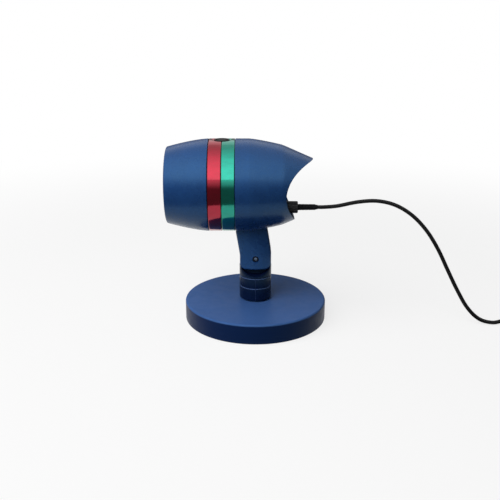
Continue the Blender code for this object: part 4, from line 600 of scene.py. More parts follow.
def prism(name, outline, axis, low, high, edge=0.0, centre=ORIGIN, segments=3):
    """A flat outline carried along an axis from low to high, its rims rounded by edge, or by the two
    numbers in it. The outline is (y, z) for X, (x, z) for Y and (x, y) for Z."""
    if axis == "Y":
        outline = [(b, a) for a, b in outline]
    rows = [[(a, b, place) for a, b in outline] for place in (low, high)]
    thing = from_rows(name, placed(rows, axis, centre), caps=True)
    way = "XYZ".index(axis)
    for place, width in zip((low, high), edge if isinstance(edge, tuple) else (edge, edge)):
        if width:
            spot = place + centre[way]
            with edited(thing.data) as shape:
                rim = [e for e in shape.edges if all(abs(v.co[way] - spot) < MERGE for v in e.verts)]
                bevelled(shape, rim, width, segments)
    return thing


def ring(inner, outer, start, end, inner_edge, outer_edge):
    """Corners of a ring's section, (radius, place, rounding)."""
    sides = [(inner, start, inner_edge), (outer, start, outer_edge)]
    return [*sides, (outer, end, outer_edge), (inner, end, inner_edge)]


def disc(radius, start, end, start_edge, end_edge):
    """Corners of half a disc's section, (radius, place, rounding)."""
    return [(0, start, 0), (radius, start, start_edge), (radius, end, end_edge), (0, end, 0)]


def rod(name, radius, axis, low, high, centre=ORIGIN, steps=48, edge=0.0):
    return turned(name, rounded(disc(radius, low, high, edge, edge)), axis, centre, steps)


def box(name, low, high, edge=0.0, segments=3):
    """A box between two corners, rounded all over."""
    mesh = bpy.data.meshes.new(name)
    size, centre = Vector(high) - Vector(low), (Vector(high) + Vector(low)) / 2
    with edited(mesh) as shape:
        bmesh.ops.create_cube(shape, size=1)
        bmesh.ops.scale(shape, vec=size, verts=shape.verts)
        bmesh.ops.translate(shape, vec=centre, verts=shape.verts)
        if edge:
            bevelled(shape, shape.edges[:], edge, segments)
    return new_object(name, mesh)


def combined(thing, operation, *tools):
    for tool in tools:
        step = thing.modifiers.new(tool.name, "BOOLEAN")
        step.operation = operation
        step.solver = "EXACT"
        step.object = tool
    settle(thing)
    for tool in tools:
        bpy.data.objects.remove(tool)
    return thing


def cut(thing, *tools):
    return combined(thing, "DIFFERENCE", *tools)


def join(thing, *tools):
    return combined(thing, "UNION", *tools)


def softened(thing, width, segments=2, angle=50 * DEG):
    """Rounds every edge sharper than the angle."""
    weld(thing.data)
    edges = thing.modifiers.new("Edges", "BEVEL")
    edges.width = width
    edges.segments = segments
    edges.limit_method = "ANGLE"
    edges.angle_limit = angle
    return settle(thing)


def dressed(thing, look):
    thing.data.materials.clear()
    thing.data.materials.append(look.material)


def shaded(thing, look):
    dressed(thing, look)
    thing.data.shade_smooth()
    thing.data.set_sharp_from_angle(angle=32 * DEG)
    return thing


def piece(thing, look, node, body="head"):
    """Gives a finished piece its material and its body, and hides the CAD node that it stands for."""
    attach(shaded(thing, look), body)
    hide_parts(node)


def turned_piece(name, corners, look, node, axis="X", centre=AXIS, steps=128, body="head"):
    piece(turned(name, rounded(corners), axis, centre, steps), look, node, body)


def smooth(route, spacing):
    """Points at even spacing on a smooth curve through the route's own points."""
    known = [Vector(p) for p in route]
    known = [2 * known[0] - known[1], *known, 2 * known[-1] - known[-2]]
    dense = []
    for a, b, c, d in zip(known, known[1:], known[2:], known[3:]):
        slope, bend, twist = c - a, 2 * a - 5 * b + 4 * c - d, 3 * b - a - 3 * c + d
        for t in np.linspace(0, 1, 24, endpoint=False):
            dense.append(0.5 * (2 * b + slope * t + bend * t**2 + twist * t**3))
    dense.append(known[-2])
    line = np.array(dense)
    along = np.concatenate([[0], np.cumsum(np.linalg.norm(np.diff(line, axis=0), axis=1))])
    places = np.linspace(0, along[-1], max(2, round(along[-1] / spacing)) + 1)
    return np.stack([np.interp(places, along, line[:, k]) for k in range(3)], axis=1)


def sweep(name, points, section):
    """A section, given as offsets (across, up), carried along points without twist."""
    ahead = np.gradient(points, axis=0)
    ahead /= np.linalg.norm(ahead, axis=1)[:, None]
    up = np.array((0, 0, 1), float)
    rows = []
    for place, way in zip(points, ahead):
        across = np.cross(way, up)
        across /= np.linalg.norm(across)
        up = np.cross(across, way)
        rows.append([place + across * a + up * b for a, b in section])
    return from_rows(name, rows, caps=True)


# Stage


def camera():
    data = bpy.data.cameras.new("camera")
    data.sensor_width = CAMERA_SENSOR
    data.lens = CAMERA_LENS
    data.clip_start, data.clip_end = CAMERA_CLIP
    eye = new_object("camera", data)
    eye.location = CAMERA_PLACE
    eye.rotation_euler = (math.pi / 2 + CAMERA_PITCH, 0, 0)
    bpy.context.scene.camera = eye
    bpy.context.scene.view_settings.view_transform = "Standard"


def lamp():
    data = bpy.data.lights.new("overhead", "AREA")
    data.shape = "RECTANGLE"
    data.size, data.size_y = LAMP_SIZE
    data.energy = LAMP_POWER
    thing = new_object("overhead", data)
    thing.location = LAMP_PLACE
    thing.rotation_euler = (Vector(AXIS) - Vector(LAMP_PLACE)).to_track_quat("-Z", "Y").to_euler()
    thing.visible_glossy = False


def shade(tree, kind, level):
    """A colourless shader of a kind, such as Emission, at a level."""
    return add(tree, kind, {"Color": (level, level, level, 1)})


def mix_shaders(tree, factor, first, second):
    return add(tree, "MixShader", {0: factor, 1: first, 2: second})


def emptied(tree, output):
    tree.nodes.clear()
    return tree.nodes.new(output).inputs["Surface"]


def seen(tree):
    """One for rays of the camera, and for those mirrored or let through on their way to it."""
    path = tree.nodes.new("ShaderNodeLightPath").outputs
    total = path["Is Camera Ray"]
    for name in ("Is Glossy Ray", "Is Transmission Ray"):
        total = add(tree, "Math", {0: total, 1: path[name]}, operation="ADD", use_clamp=True)
    return total


def backdrop():
    """White behind the object, where it is seen straight, mirrored or through glass; dim otherwise."""
    world = bpy.data.worlds.new("backdrop")
    world.use_nodes = True
    bpy.context.scene.world = world
    tree = world.node_tree
    surface = emptied(tree, "ShaderNodeOutputWorld")
    dim, white = shade(tree, "Background", WORLD_FILL), shade(tree, "Background", 1)
    tree.links.new(mix_shaders(tree, seen(tree), dim, white), surface)


def stage_sheet(name, rows):
    """A sheet of the stage, with its material's tree, its surface socket and the object coordinates."""
    sheet = from_rows(name, rows, False)
    material = bpy.data.materials.new(name)
    material.use_nodes = True
    sheet.data.materials.append(material)
    tree = material.node_tree
    surface = emptied(tree, "ShaderNodeOutputMaterial")
    return sheet, tree, surface, add(tree, "TexCoord", output="Object")


def floor():
    """A floor that looks white and keeps the object's shadow, but throws little light back."""
    rows = [[(x, y, 0) for x in (-FLOOR_HALF, FLOOR_HALF)] for y in (-FLOOR_HALF, FLOOR_HALF)]
    _, tree, surface, place = stage_sheet("floor", rows)
    distance = add(tree, "VectorMath", {0: place}, "Value", operation="LENGTH")
    share = ramp(tree, distance, FLOOR_FADE, (1 - FLOOR_LIT, 1), "SMOOTHSTEP")
    white = mix_shaders(tree, share, shade(tree, "BsdfDiffuse", 1), shade(tree, "Emission", 1))
    dim = shade(tree, "BsdfDiffuse", FLOOR_BOUNCE)
    tree.links.new(mix_shaders(tree, seen(tree), dim, white), surface)


def card(name, rows, axis, places, tones):
    """A reflector that only gloss shows; its tone changes from one place to another along an axis."""
    sheet, tree, surface, place = stage_sheet(name, rows)
    along = add(tree, "SeparateXYZ", {0: place}, axis)
    tone = ramp(tree, along, places, tones, "SMOOTHSTEP")
    tree.links.new(add(tree, "Emission", {"Strength": tone}), surface)
    sheet.visible_camera = sheet.visible_diffuse = sheet.visible_shadow = sheet.visible_transmission = False


def cards():
    """Dark cards on the floor and behind, one in front that grows lighter, and a pale arch over them."""
    ground = [(CARD_NEAR, CARD_LIFT), (CARD_FAR, CARD_LIFT)]
    wall = [(CARD_FAR, CARD_LIFT), (CARD_FAR, CARD_TOP)]
    for name, start, turn, profile, tones in (
        ("floor_card", 0, math.tau, ground, CARD_DARK),
        ("front_card", math.pi, math.pi, wall, CARD_TONES),
        ("rear_card", 0, math.pi, wall, CARD_DARK),
    ):
        angles = np.linspace(start, start + turn, 97)
        rows = [[(r * math.cos(a), r * math.sin(a), z) for r, z in profile] for a in angles]
        card(name, rows, "Z", CARD_FADE, tones)
    arch = [(-y, z) for y, z in arc((0, AXIS_Z), SKY_RADIUS, *SKY_ARC, 64)]
    rows = [[(x, y, z) for x in (-SKY_HALF, SKY_HALF)] for y, z in arch]
    card("pale_card", rows, "Y", (arch[-1][0], arch[0][0]), SKY_TONES)


# Barrel


def body_radius(x):
    """The barrel's outer radius at x, with its crease softened."""
    start = RED_X + FRONT_TAPER_START
    if x < start:
        share = (start - x) / (start - FRONT_X)
        return BODY_RADIUS - (BODY_RADIUS - FRONT_RADIUS) * share**FRONT_TAPER_POWER
    share = max(0, x - REAR_TAPER_X) / (CREASE_X - REAR_TAPER_X)
    bulge = BODY_RADIUS - (BODY_RADIUS - CREASE_RADIUS) * share**REAR_TAPER_POWER
    cone = CREASE_RADIUS + (TAIL_RADIUS - CREASE_RADIUS) * (x - CREASE_X) / (TAIL_X - CREASE_X)
    blend = max(0, CREASE_SOFTNESS - abs(bulge - cone)) / CREASE_SOFTNESS
    return min(bulge, cone) - blend * blend * CREASE_SOFTNESS / 4


def barrel(name, start, end, inset):
    """A solid of the barrel's shape between two places, its surface set in by inset."""
    places = np.linspace(start, end, max(2, round((end - start) / MM)))
    outline = [(0, start), *[(body_radius(x) - inset, x) for x in places], (0, end)]
    return turned(name, outline, "X", AXIS, 192)


def scoop_line(inset=0.0, foot_break=SCOOP_FOOT_BREAK, count=60):
    """The scoop's edge in side view, (x, height from the barrel's axis), from below to above."""
    centre = (SCOOP_X + SCOOP_RADIUS, -SCOOP_DROP)
    round_part = arc(centre, SCOOP_RADIUS + inset, math.pi + foot_break, math.pi - SCOOP_BREAK, count)
    away = SCOOP_TOP_RADIUS - SCOOP_RADIUS
    top_centre = (centre[0] + away * math.cos(SCOOP_BREAK), centre[1] - away * math.sin(SCOOP_BREAK))
    upper = arc(top_centre, SCOOP_TOP_RADIUS + inset, math.pi - SCOOP_BREAK, math.pi / 2, count)
    x, height = round_part[0]
    drop = 2 * BODY_RADIUS + height
    foot = (x + drop * math.tan(foot_break), -2 * BODY_RADIUS)
    return [foot, *round_part, *upper[1:]]


SCOOP = scoop_line(count=400)


def scoop_x(height):
    return float(np.interp(height, [p[1] for p in SCOOP], [p[0] for p in SCOOP]))


def scoop_end(angle, inset):
    """Where the barrel's surface, set in by inset, meets the scoop at an angle from straight down."""
    low, high = CREASE_X - 10 * MM, TAIL_X + 4 * MM
    for _ in range(40):
        centre = (low + high) / 2
        if centre < scoop_x(-(body_radius(centre) - inset) * math.cos(angle)):
            low = centre
        else:
            high = centre
    return low


def shell_half(name, side):
    """One half of the rear shell, without the neck."""
    start = RINGS_END_X + GAP
    lap_end = RINGS_END_X + LAP
    inner_ring = BODY_RADIUS - RING_WALL
    rows = []
    for angle in np.linspace(0, math.pi, 121):
        edge, back = scoop_end(angle, 0), scoop_end(angle, SHELL_WALL)
        outer = [(body_radius(x), x) for x in np.linspace(start, edge, 72)]
        inner = [(body_radius(x) - SHELL_WALL, x) for x in np.linspace(back, lap_end, 40)]
        profile = [*outer, *inner, (inner_ring, lap_end), (inner_ring, start)]
        across, down = math.sin(angle), math.cos(angle)
        rows.append([(x, side * max(r * across, SEAM / 2), AXIS_Z - r * down) for r, x in profile])
    return softened(from_rows(name, rows, caps=True), 0.4 * MM, 3)


def neck_outline(inset, top):
    """The neck in side view about the pivot, from its rounded foot up to top."""
    half = NECK_WIDTH / 2 - inset
    lean = math.tan(NECK_LEAN)
    corner = NECK_CORNER - min(inset, NECK_CORNER / 2)
    rear = half - (top - NECK_REAR_STRAIGHT) * lean
    front = -half - (top - NECK_FRONT_STRAIGHT) * lean
    corners = [
        (-half, inset - NECK_FOOT, corner), (half, inset - NECK_FOOT, corner),
        (half, NECK_REAR_STRAIGHT, NECK_BEND), (rear, top, 0), (front, top, 0),
        (-half, NECK_FRONT_STRAIGHT, NECK_BEND),
    ]
    return rounded(corners, 9 * DEG)


def crown_cheek(mesh):
    """Bulges a cheek of the neck: its borders fall back from the middle line."""
    with edited(mesh) as shape:
        for axis, places in ((0, np.arange(-30, 22, 1.5)), (2, np.arange(58, 122, 4))):
            normal = [float(axis == i) for i in range(3)]
            for place in places * MM:
                spot = [n * place for n in normal]
                geometry = [*shape.verts, *shape.edges, *shape.faces]
                bmesh.ops.bisect_plane(shape, geom=geometry, plane_co=spot, plane_no=normal)
        for vert in shape.verts:
            if abs(vert.co.y) > FORK_HALF:
                height = vert.co.z - PIVOT_Z - (NECK_FRONT_STRAIGHT + NECK_REAR_STRAIGHT) / 2
                away = vert.co.x + max(0, height) * math.tan(NECK_LEAN)
                fall = NECK_CROWN - math.sqrt(NECK_CROWN**2 - away**2)
                vert.co.y -= math.copysign(fall, vert.co.y)


def neck_half(name, side):
    """One cheek of the neck, crowned, with the fork, its bores and its hollow."""
    outer = NECK_DEPTH / 2
    ends = sorted((side * SEAM / 2, side * outer))
    edges = (0, NECK_EDGE) if side > 0 else (NECK_EDGE, 0)
    neck = prism(name, neck_outline(0, NECK_TOP + 4 * MM), "Y", *ends, edges, PIVOT, 6)
    crown_cheek(neck.data)
    fork = box("fork", (-REACH, -FORK_HALF, 0), (REACH, FORK_HALF, PIVOT_Z + FORK_RISE))
    bore = rod("bolt_bore", BOLT_BORE, "Y", -REACH, REACH, PIVOT, 64)
    if side < 0:
        seat = rod("counterbore", COUNTERBORE_RADIUS, "Y", -REACH, COUNTERBORE_DEPTH - outer, PIVOT, 96)
    else:
        seat = prism("nut_pocket", circle(NUT_POCKET_RADIUS, 6), "Y", NUT_POCKET_Y, REACH, 0, PIVOT)
    softened(cut(neck, fork, bore, seat), 0.3 * MM)
    half = outer - SHELL_WALL - CROWN_FALL
    inside = neck_outline(SHELL_WALL, NECK_TOP + 8 * MM)[14:]  # without the foot's rounded corners
    hollow = [(x, max(z, FORK_RISE + 4 * MM)) for x, z in inside]
    keep = barrel("keep", RINGS_END_X - 4 * MM, TAIL_X, SHELL_WALL / 2)
    ahead = box("ahead", (-REACH, -REACH, PIVOT_Z + FORK_RISE), (RINGS_END_X + GAP, REACH, REACH + AXIS_Z))
    return cut(neck, prism("hollow", hollow, "Y", -half, half, 0, PIVOT), keep, ahead)


def screw_posts(side):
    """The posts in one half for the housing screws, those in the barrel cut to its wall."""
    posts = []
    for place in SCREW_PLACES:
        far = REACH if place != NECK_SCREW else (NECK_DEPTH - SHELL_WALL) / 2
        ends = sorted((side * SEAM / 2, side * far))
        post = rod("post", POST_RADIUS, "Y", *ends, (place[0], 0, place[1]))
        if place != NECK_SCREW:
            combined(post, "INTERSECT", barrel("room", RINGS_END_X, TAIL_X, SHELL_WALL / 2))
        posts.append(post)
    return posts


def housing():
    for hand, side in (("left", -1), ("right", 1)):
        half = join(shell_half(f"rear_shell_{hand}", side), neck_half("neck", side), *screw_posts(side))
        top = [(SCREW_SINK, SCREW_SEAT), (SCREW_SINK, REACH), (0, REACH)] if side > 0 else [(0, SCREW_SEAT)]
        hole = [(0, -SCREW_REACH), (SCREW_BORE, -SCREW_REACH), (SCREW_BORE, SCREW_SEAT), *top]
        cut(half, *[turned("hole", hole, "Y", (x, 0, z), 64) for x, z in SCREW_PLACES])
        piece(half, BLUE, f"housing_{hand}")


def front_body():
    lip = FRONT_RADIUS - LIP_WIDTH
    back = FRONT_X + LIP_THICKNESS
    end = RED_X - GAP
    rabbet = RED_X - LAP
    inner_ring = BODY_RADIUS - RING_WALL
    corners = [
        (lip, FRONT_X, 0.8 * MM), (body_radius(FRONT_X), FRONT_X, 1.6 * MM),
        *[(body_radius(x), x, 0) for x in np.linspace(FRONT_X + 3 * MM, end - MM, 60)],
        (body_radius(end), end, 0.4 * MM), (inner_ring, end, 0.2 * MM), (inner_ring, rabbet, 0),
        *[(body_radius(x) - SHELL_WALL, x, 0) for x in np.linspace(rabbet - 3 * MM, back, 30)],
        (lip, back, 0.3 * MM),
    ]
    turned_piece("front_body", corners, BLUE, "front_shell", steps=192)


def sensor_seat():
    """The hole for the light sensor, with its countersink, as a cutter."""
    slope = (COUNTERSINK_RADIUS - SENSOR_HOLE) / COUNTERSINK_DEPTH
    above, below = 4 * MM, 0.7 * BODY_RADIUS
    outline = [
        (0, BODY_RADIUS + above), (COUNTERSINK_RADIUS + slope * above, BODY_RADIUS + above),
        (SENSOR_HOLE, BODY_RADIUS - COUNTERSINK_DEPTH), (SENSOR_HOLE, below), (0, below),
    ]
    return turned("seat", outline, "Z", SENSOR, 128)


def rings():
    for name, look, node in (("red_band", RED, "red_ring"), ("green_band", GREEN, "green_ring")):
        start, end, _ = extent(node, "X")
        corners = ring(BODY_RADIUS - RING_WALL, BODY_RADIUS, start, end, 0.2 * MM, MM)
        piece(cut(turned(name, rounded(corners), "X", AXIS, 256), sensor_seat()), look, node)


def optics():
    """What is behind the barrel's mouth, and the light sensor."""
    start, end, _ = extent("window_seal", "X")
    inner = FRONT_RADIUS - LIP_WIDTH + 0.4 * MM
    corners = ring(inner, body_radius(start) - SHELL_WALL - GAP, start, end, 0.5 * MM, 0.3 * MM)
    turned_piece("seal", corners, RUBBER, "window_seal")

    start, end, _ = extent("front_window", "X")
    corners = disc(body_radius(start) - SHELL_WALL - GAP, start, end, 0.4 * MM, 0.4 * MM)
    turned_piece("window", corners, GLASS, "front_window")

    start, end, _ = extent("optic_hood", "X")
    outer = body_radius(start) - SHELL_WALL - GAP
    mouth, throat, wall, flange, steps = 37.5 * MM, 15.2 * MM, 1.6 * MM, 3.0 * MM, 14
    drop = (mouth - throat) / steps
    inside = []
    for share in (i / steps for i in range(steps)):
        radius, place = mouth + (throat - mouth) * share, start + (end - start) * share
        inside += [(radius, place + 0.25 * MM, 0), (radius - 0.2 * drop, place + 1.6 * MM, 0)]
    corners = [
        (mouth + wall, start + flange, 0.6 * MM), (outer, start + flange, 0.3 * MM),
        (outer, start, 0.3 * MM), (mouth, start, 0.15 * MM), *inside, (throat, end - 0.4 * MM, 0),
        (throat, end, 0.2 * MM), (throat + wall, end, 0.3 * MM),
    ]
    turned_piece("hood", corners, BLACK, "optic_hood")

    start, end, radius = extent("grating_plate", "X")
    recess, seat = 14.9 * MM, start + 1.3 * MM
    corners = [
        (0, seat, 0), (recess, seat, 0), (recess, start, 0.2 * MM), (radius, start, 0.3 * MM),
        (radius, end, 0.3 * MM), (0, end, 0),
    ]
    carrier = turned("aperture_plate", rounded(corners), "X", AXIS, 128)
    holes = [rod("hole", 3.6 * MM, "X", start - MM, end + MM, (0, y, AXIS_Z), 64) for y in BEAMS]
    piece(softened(cut(carrier, *holes), 0.15 * MM, angle=40 * DEG), BLACK, "grating_plate")

    start, end, radius = extent("diffraction_grating", "X")
    corners = disc(radius, start, end, 0.2 * MM, 0.2 * MM)
    turned_piece("star_film", corners, FILM, "diffraction_grating")

    foot, top, flange = extent("sensor_holder", "Z")
    foot, top = foot - AXIS_Z, top - AXIS_Z + SENSOR_RAISED
    step, floor_height = foot + 2.2 * MM, top - 4.9 * MM
    outer, bore, narrow = 8.8 * MM, 6.9 * MM, 5.4 * MM
    corners = [
        (bore, top, 0.3 * MM), (outer, top, 0.7 * MM), (outer, step, 0), (flange, step, 0.3 * MM),
        (flange, foot, 0.3 * MM), (narrow, foot, 0), (narrow, floor_height, 0), (bore, floor_height, 0),
    ]
    turned_piece("sensor_cup", corners, BLACK, "sensor_holder", "Z", SENSOR)

    foot, top, radius = extent("sensor_lens", "Z")
    foot, top = foot - AXIS_Z, top - AXIS_Z + LENS_RAISED
    corners = [(radius * t, top - LENS_BULGE * t**2.4, 0) for t in np.linspace(0, 1, 24)]
    corners += [(radius, foot, 0), (0, foot, 0)]
    turned_piece("sensor_dome", corners, SMOKE, "sensor_lens", "Z", SENSOR, 96)


def rear_panel():
    """The panel in the scoop, with the gland's seat and the button's bezel."""
    shape = scoop_line(PANEL_INSET, 0) + scoop_line(PANEL_INSET + PANEL_THICKNESS, 0)[::-1]
    panel = prism("scoop_wall", shape, "Y", -REACH / 2, REACH / 2, 0, AXIS)
    combined(panel, "INTERSECT", barrel("room", 0, TAIL_X + 4 * MM, SHELL_WALL + GAP))
    face = SCOOP_X - PANEL_INSET
    rim = face + 0.6 * MM
    bore = 4.2 * MM
    seat = rod("seat", 7.4 * MM, "X", face - PANEL_THICKNESS + MM, face + 5.3 * MM, GLAND, 96, 0.4 * MM)
    bezel = rod("bezel", bore + 1.3 * MM, "X", rim - 7 * MM, rim, BUTTON, 96, 0.4 * MM)
    gland_hole = rod("gland_hole", 5.2 * MM, "X", 0, REACH, GLAND, 64)
    button_hole = rod("button_hole", bore, "X", 0, REACH, BUTTON, 64)
    cut(join(panel, seat, bezel), gland_hole, button_hole)
    piece(softened(panel, 0.25 * MM, angle=40 * DEG), NAVY, "rear_panel")


def mode_button():
    start, end, flange = extent("power_button", "X")
    radius, step = 3.8 * MM, start + 1.1 * MM
    dish = [(radius * t, end - 0.35 * MM * (1 - t * t), 0) for t in np.linspace(0, 0.8, 10)]
    corners = [
        *dish, (radius, end, 0.5 * MM), (radius, step - 0.2 * MM, 0), (radius, step, 0),
        (flange, step, 0.2 * MM), (flange, start, 0.2 * MM), (0, start, 0),
    ]
    turned_piece("mode_cap", corners, BLACK, "power_button", "X", BUTTON, 96, "button")


def gland():
    """The lead's gland through the panel, with its ribbed nut and the strain relief."""
    start, end, _ = extent("cable_gland", "X")
    body, flange, step = 4.9 * MM, 7.0 * MM, start + 2.6 * MM
    corners = [
        (0, start, 0), (flange, start, 0.3 * MM), (flange, step, 0.3 * MM), (body, step, 0),
        (body, end, 0.4 * MM), (0, end, 0),
    ]
    turned_piece("gland_body", corners, BLACK, "cable_gland", "X", GLAND, 64)

    start, end, _ = extent("gland_nut", "X")
    full, neck, bore, hollow = 7.0 * MM, 4.8 * MM, 5.2 * MM, start + 3.3 * MM
    outline = [
        (bore, start), (full - 0.4 * MM, start), (full, start + 0.5 * MM),
        *[(full, x) for x in np.linspace(start + 0.8 * MM, end - 1.6 * MM, 12)],
        *arc((full - MM, end - MM), MM, 0, math.pi / 2, 6),
        (full - 1.6 * MM, end), (neck, end), (0, end), (0, hollow), (bore, hollow),
    ]

    def flute(r, x):
        if r <= bore or x <= start + 0.3 * MM:
            return 0
        return 0.55 * MM * np.clip((r - neck) / (full - neck), 0, 1) ** 0.5

    piece(fluted("ribbed_nut", outline, GLAND, NUT_RIBS, 3, flute, 240), BLACK, "gland_nut")

    start, end, _ = extent("strain_relief", "X")
    thick, thin, taper = 3.6 * MM, CORD_RADIUS + 0.4 * MM, 0.25 * MM
    shoulder = end - 3 * MM
    corners = [(0, start, 0), (thick, start, 0.3 * MM)]
    for x in (start + 4 * MM, start + 8 * MM, start + 12 * MM):
        r = thick - taper * (x - start) / (shoulder - start)
        corners += [(r, x - 0.5 * MM, 0), (r - 0.22 * MM, x, 0.2 * MM), (r, x + 0.5 * MM, 0)]
    corners += [
        (thick - taper, shoulder, 0.5 * MM), (thin + 0.15 * MM, shoulder + 0.8 * MM, 0.4 * MM),
        (thin, end, 0.2 * MM), (0, end, 0),
    ]
    turned_piece("relief", corners, RUBBER, "strain_relief", "X", GLAND, 64)


# Post and hardware


def knuckle():
    core = COLLAR_RADIUS - 3.5 * MM
    foot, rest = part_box("knuckle")[0].z, COLLAR_HIGH.z + GAP
    shoulder = PIVOT_Z - SHOULDER_DROP
    corners = [
        (0, shoulder, 0), (COLLAR_RADIUS, shoulder, 0.6 * MM), (COLLAR_RADIUS, rest, 0.5 * MM),
        (core, rest, 0), (core, foot, 0.3 * MM), (0, foot, 0),
    ]
    body = turned("saddle_block", rounded(corners), "Z", ORIGIN, 128)
    cut(body, rod("saddle", SADDLE_RADIUS, "Y", -REACH, REACH, PIVOT, 192))
    low = COLLAR_HIGH.z - PIVOT_Z + 2 * MM
    tongue = [(TONGUE_RADIUS, low), *arc((0, 0), TONGUE_RADIUS, 0, math.pi, 48), (-TONGUE_RADIUS, low)]
    join(body, prism("tongue", tongue, "Y", -TONGUE_HALF, TONGUE_HALF, 0.4 * MM, PIVOT))
    bush_bore = rod("bush_bore", 4.2 * MM, "Y", -REACH, REACH, PIVOT, 64)
    shank_bore = rod("shank_bore", 8.2 * MM, "Z", 0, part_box("threaded_stud")[1].z + GAP)
    piece(softened(cut(body, bush_bore, shank_bore), 0.25 * MM), NAVY, "knuckle", "knuckle")


def grip_collar():
    inner = COLLAR_RADIUS - 3.2 * MM
    low, high = COLLAR_LOW.z, COLLAR_HIGH.z
    groove = low + GROOVE_RISE
    radius, deep = COLLAR_RADIUS, COLLAR_RADIUS - GROOVE_DEPTH
    corners = [
        (inner, high, 0.3 * MM), (radius, high, 0.8 * MM), (radius, groove + GROOVE_WIDTH, 0.25 * MM),
        (deep, groove + GROOVE_WIDTH / 2, 0), (radius, groove, 0.25 * MM), (radius, low, 0.8 * MM),
        (inner, low, 0.3 * MM),
    ]
    collar = turned("screw_collar", rounded(corners, 15 * DEG), "Z", ORIGIN, 192)
    grooves = []
    for i, spot in enumerate(circle(radius + 0.35 * MM, GRIP_GROOVES, -math.pi / 2)):
        square = circle(0.9 * MM, 4, -math.pi / 2 + math.tau * i / GRIP_GROOVES, spot)
        grooves.append(prism("groove", square, "Z", 0, PIVOT_Z))
    piece(softened(cut(collar, *grooves), 0.12 * MM), COLLAR, "grip_collar", "knuckle")


def stud():
    """The post's screw: a thread that fades in and out, over a pointed foot."""
    tip, top = extent("threaded_stud", "Z")[:2]
    root, steps = THREAD_RADIUS - THREAD_DEPTH, 96
    start, end = tip + 1.2 * MM, COLLAR_LOW.z - 0.6 * MM
    rows = [[(x, y, tip) for x, y in circle(root - 0.8 * MM, steps)]]
    for z in [*np.arange(tip + 0.8 * MM, end, 0.115 * MM), end, top]:
        fade = np.clip((z - start) / THREAD_PITCH, 0, 1) * np.clip((end - z) / (0.5 * THREAD_PITCH), 0, 1)
        row = []
        for k in range(steps):
            angle = math.tau * k / steps
            phase = (z / THREAD_PITCH - k / steps) % 1
            tooth = np.clip(1.35 - 3.105 * abs(phase - 0.5), 0, 1)  # flat at crest and root
            radius = root + THREAD_DEPTH * tooth * fade
            row.append((radius * math.cos(angle), radius * math.sin(angle), z))
        rows.append(row)
    piece(from_rows("stud_thread", rows, caps=True), STUD, "threaded_stud", "knuckle")


def stud_washer():
    low, high, _ = extent("stud_washer", "Z")
    inner, outer, edge = 9.2 * MM, 13.5 * MM, 0.3 * MM
    corners = [(inner, high, edge), (outer, high, 0.4 * MM), (outer, low, edge), (inner, low, edge)]
    turned_piece("rubber_ring", corners, RUBBER, "stud_washer", "Z", ORIGIN, body="washer")


def pivot():
    """The pivot's bolt and nut, and its two friction washers."""
    head, shaft = 3.1 * MM, 2.4 * MM
    low, high, _ = extent("pivot_bolt", "Y")
    seat = low + 2.7 * MM
    corners = [
        (0, low, 0), (head, low, 0.7 * MM), (head, seat, 0.2 * MM), (shaft, seat, 0),
        (shaft, high, 0.4 * MM), (0, high, 0),
    ]
    bolt = turned("socket_bolt", rounded(corners), "Y", PIVOT, 96)
    cut(bolt, prism("hex", circle(1.75 * MM, 6), "Y", low - MM, low + 1.6 * MM, 0, PIVOT))
    piece(softened(bolt, 0.1 * MM), BOLT, "pivot_bolt")

    low, high, _ = extent("pivot_nut", "Y")
    across = 4.2 * MM
    outer = across + 0.1 * MM
    nut = prism("hex_nut", circle(across, 6), "Y", low, high, 0, PIVOT)
    crown = [(0, high), (3.7 * MM, high), (outer, high - 0.35 * MM), (outer, low), (0, low)]
    combined(nut, "INTERSECT", turned("crown", crown, "Y", PIVOT, 96))
    cut(nut, rod("nut_bore", shaft + GAP, "Y", 0, REACH, PIVOT, 64))
    piece(softened(nut, 0.12 * MM), STEEL, "pivot_nut")

    for side in ("left", "right"):
        low, high, _ = extent(f"friction_washer_{side}", "Y")
        corners = ring(2.7 * MM, 11 * MM, low, high, 0.1 * MM, 0.25 * MM)
        name, node = f"friction_disc_{side}", f"friction_washer_{side}"
        turned_piece(name, corners, BLACK, node, "Y", PIVOT, 96)


def housing_screws():
    head, shank, cross_half, cross_arm = 2.8 * MM, 1.5 * MM, 0.35 * MM, 1.5 * MM
    for i, (x, z) in enumerate(SCREW_PLACES):
        node = f"housing_screw_{i + 1}"
        tip, top, _ = extent(node, "Y")
        under = top - 1.5 * MM
        corners = [
            (0, top, 0), (head, top, 0.6 * MM), (head, under, 0.1 * MM), (shank, under, 0),
            (shank, tip + MM, 0), (0, tip, 0),
        ]
        screw = turned(f"cross_screw_{i + 1}", rounded(corners), "Y", (x, 0, z), 64)
        low, high = top - 0.9 * MM, top + MM
        sizes = ((cross_arm, cross_half), (cross_half, cross_arm))
        cut(screw, *[box("bar", (x - a, low, z - b), (x + a, high, z + b)) for a, b in sizes])
        piece(softened(screw, 0.08 * MM, 1), STEEL, node)


# Stand


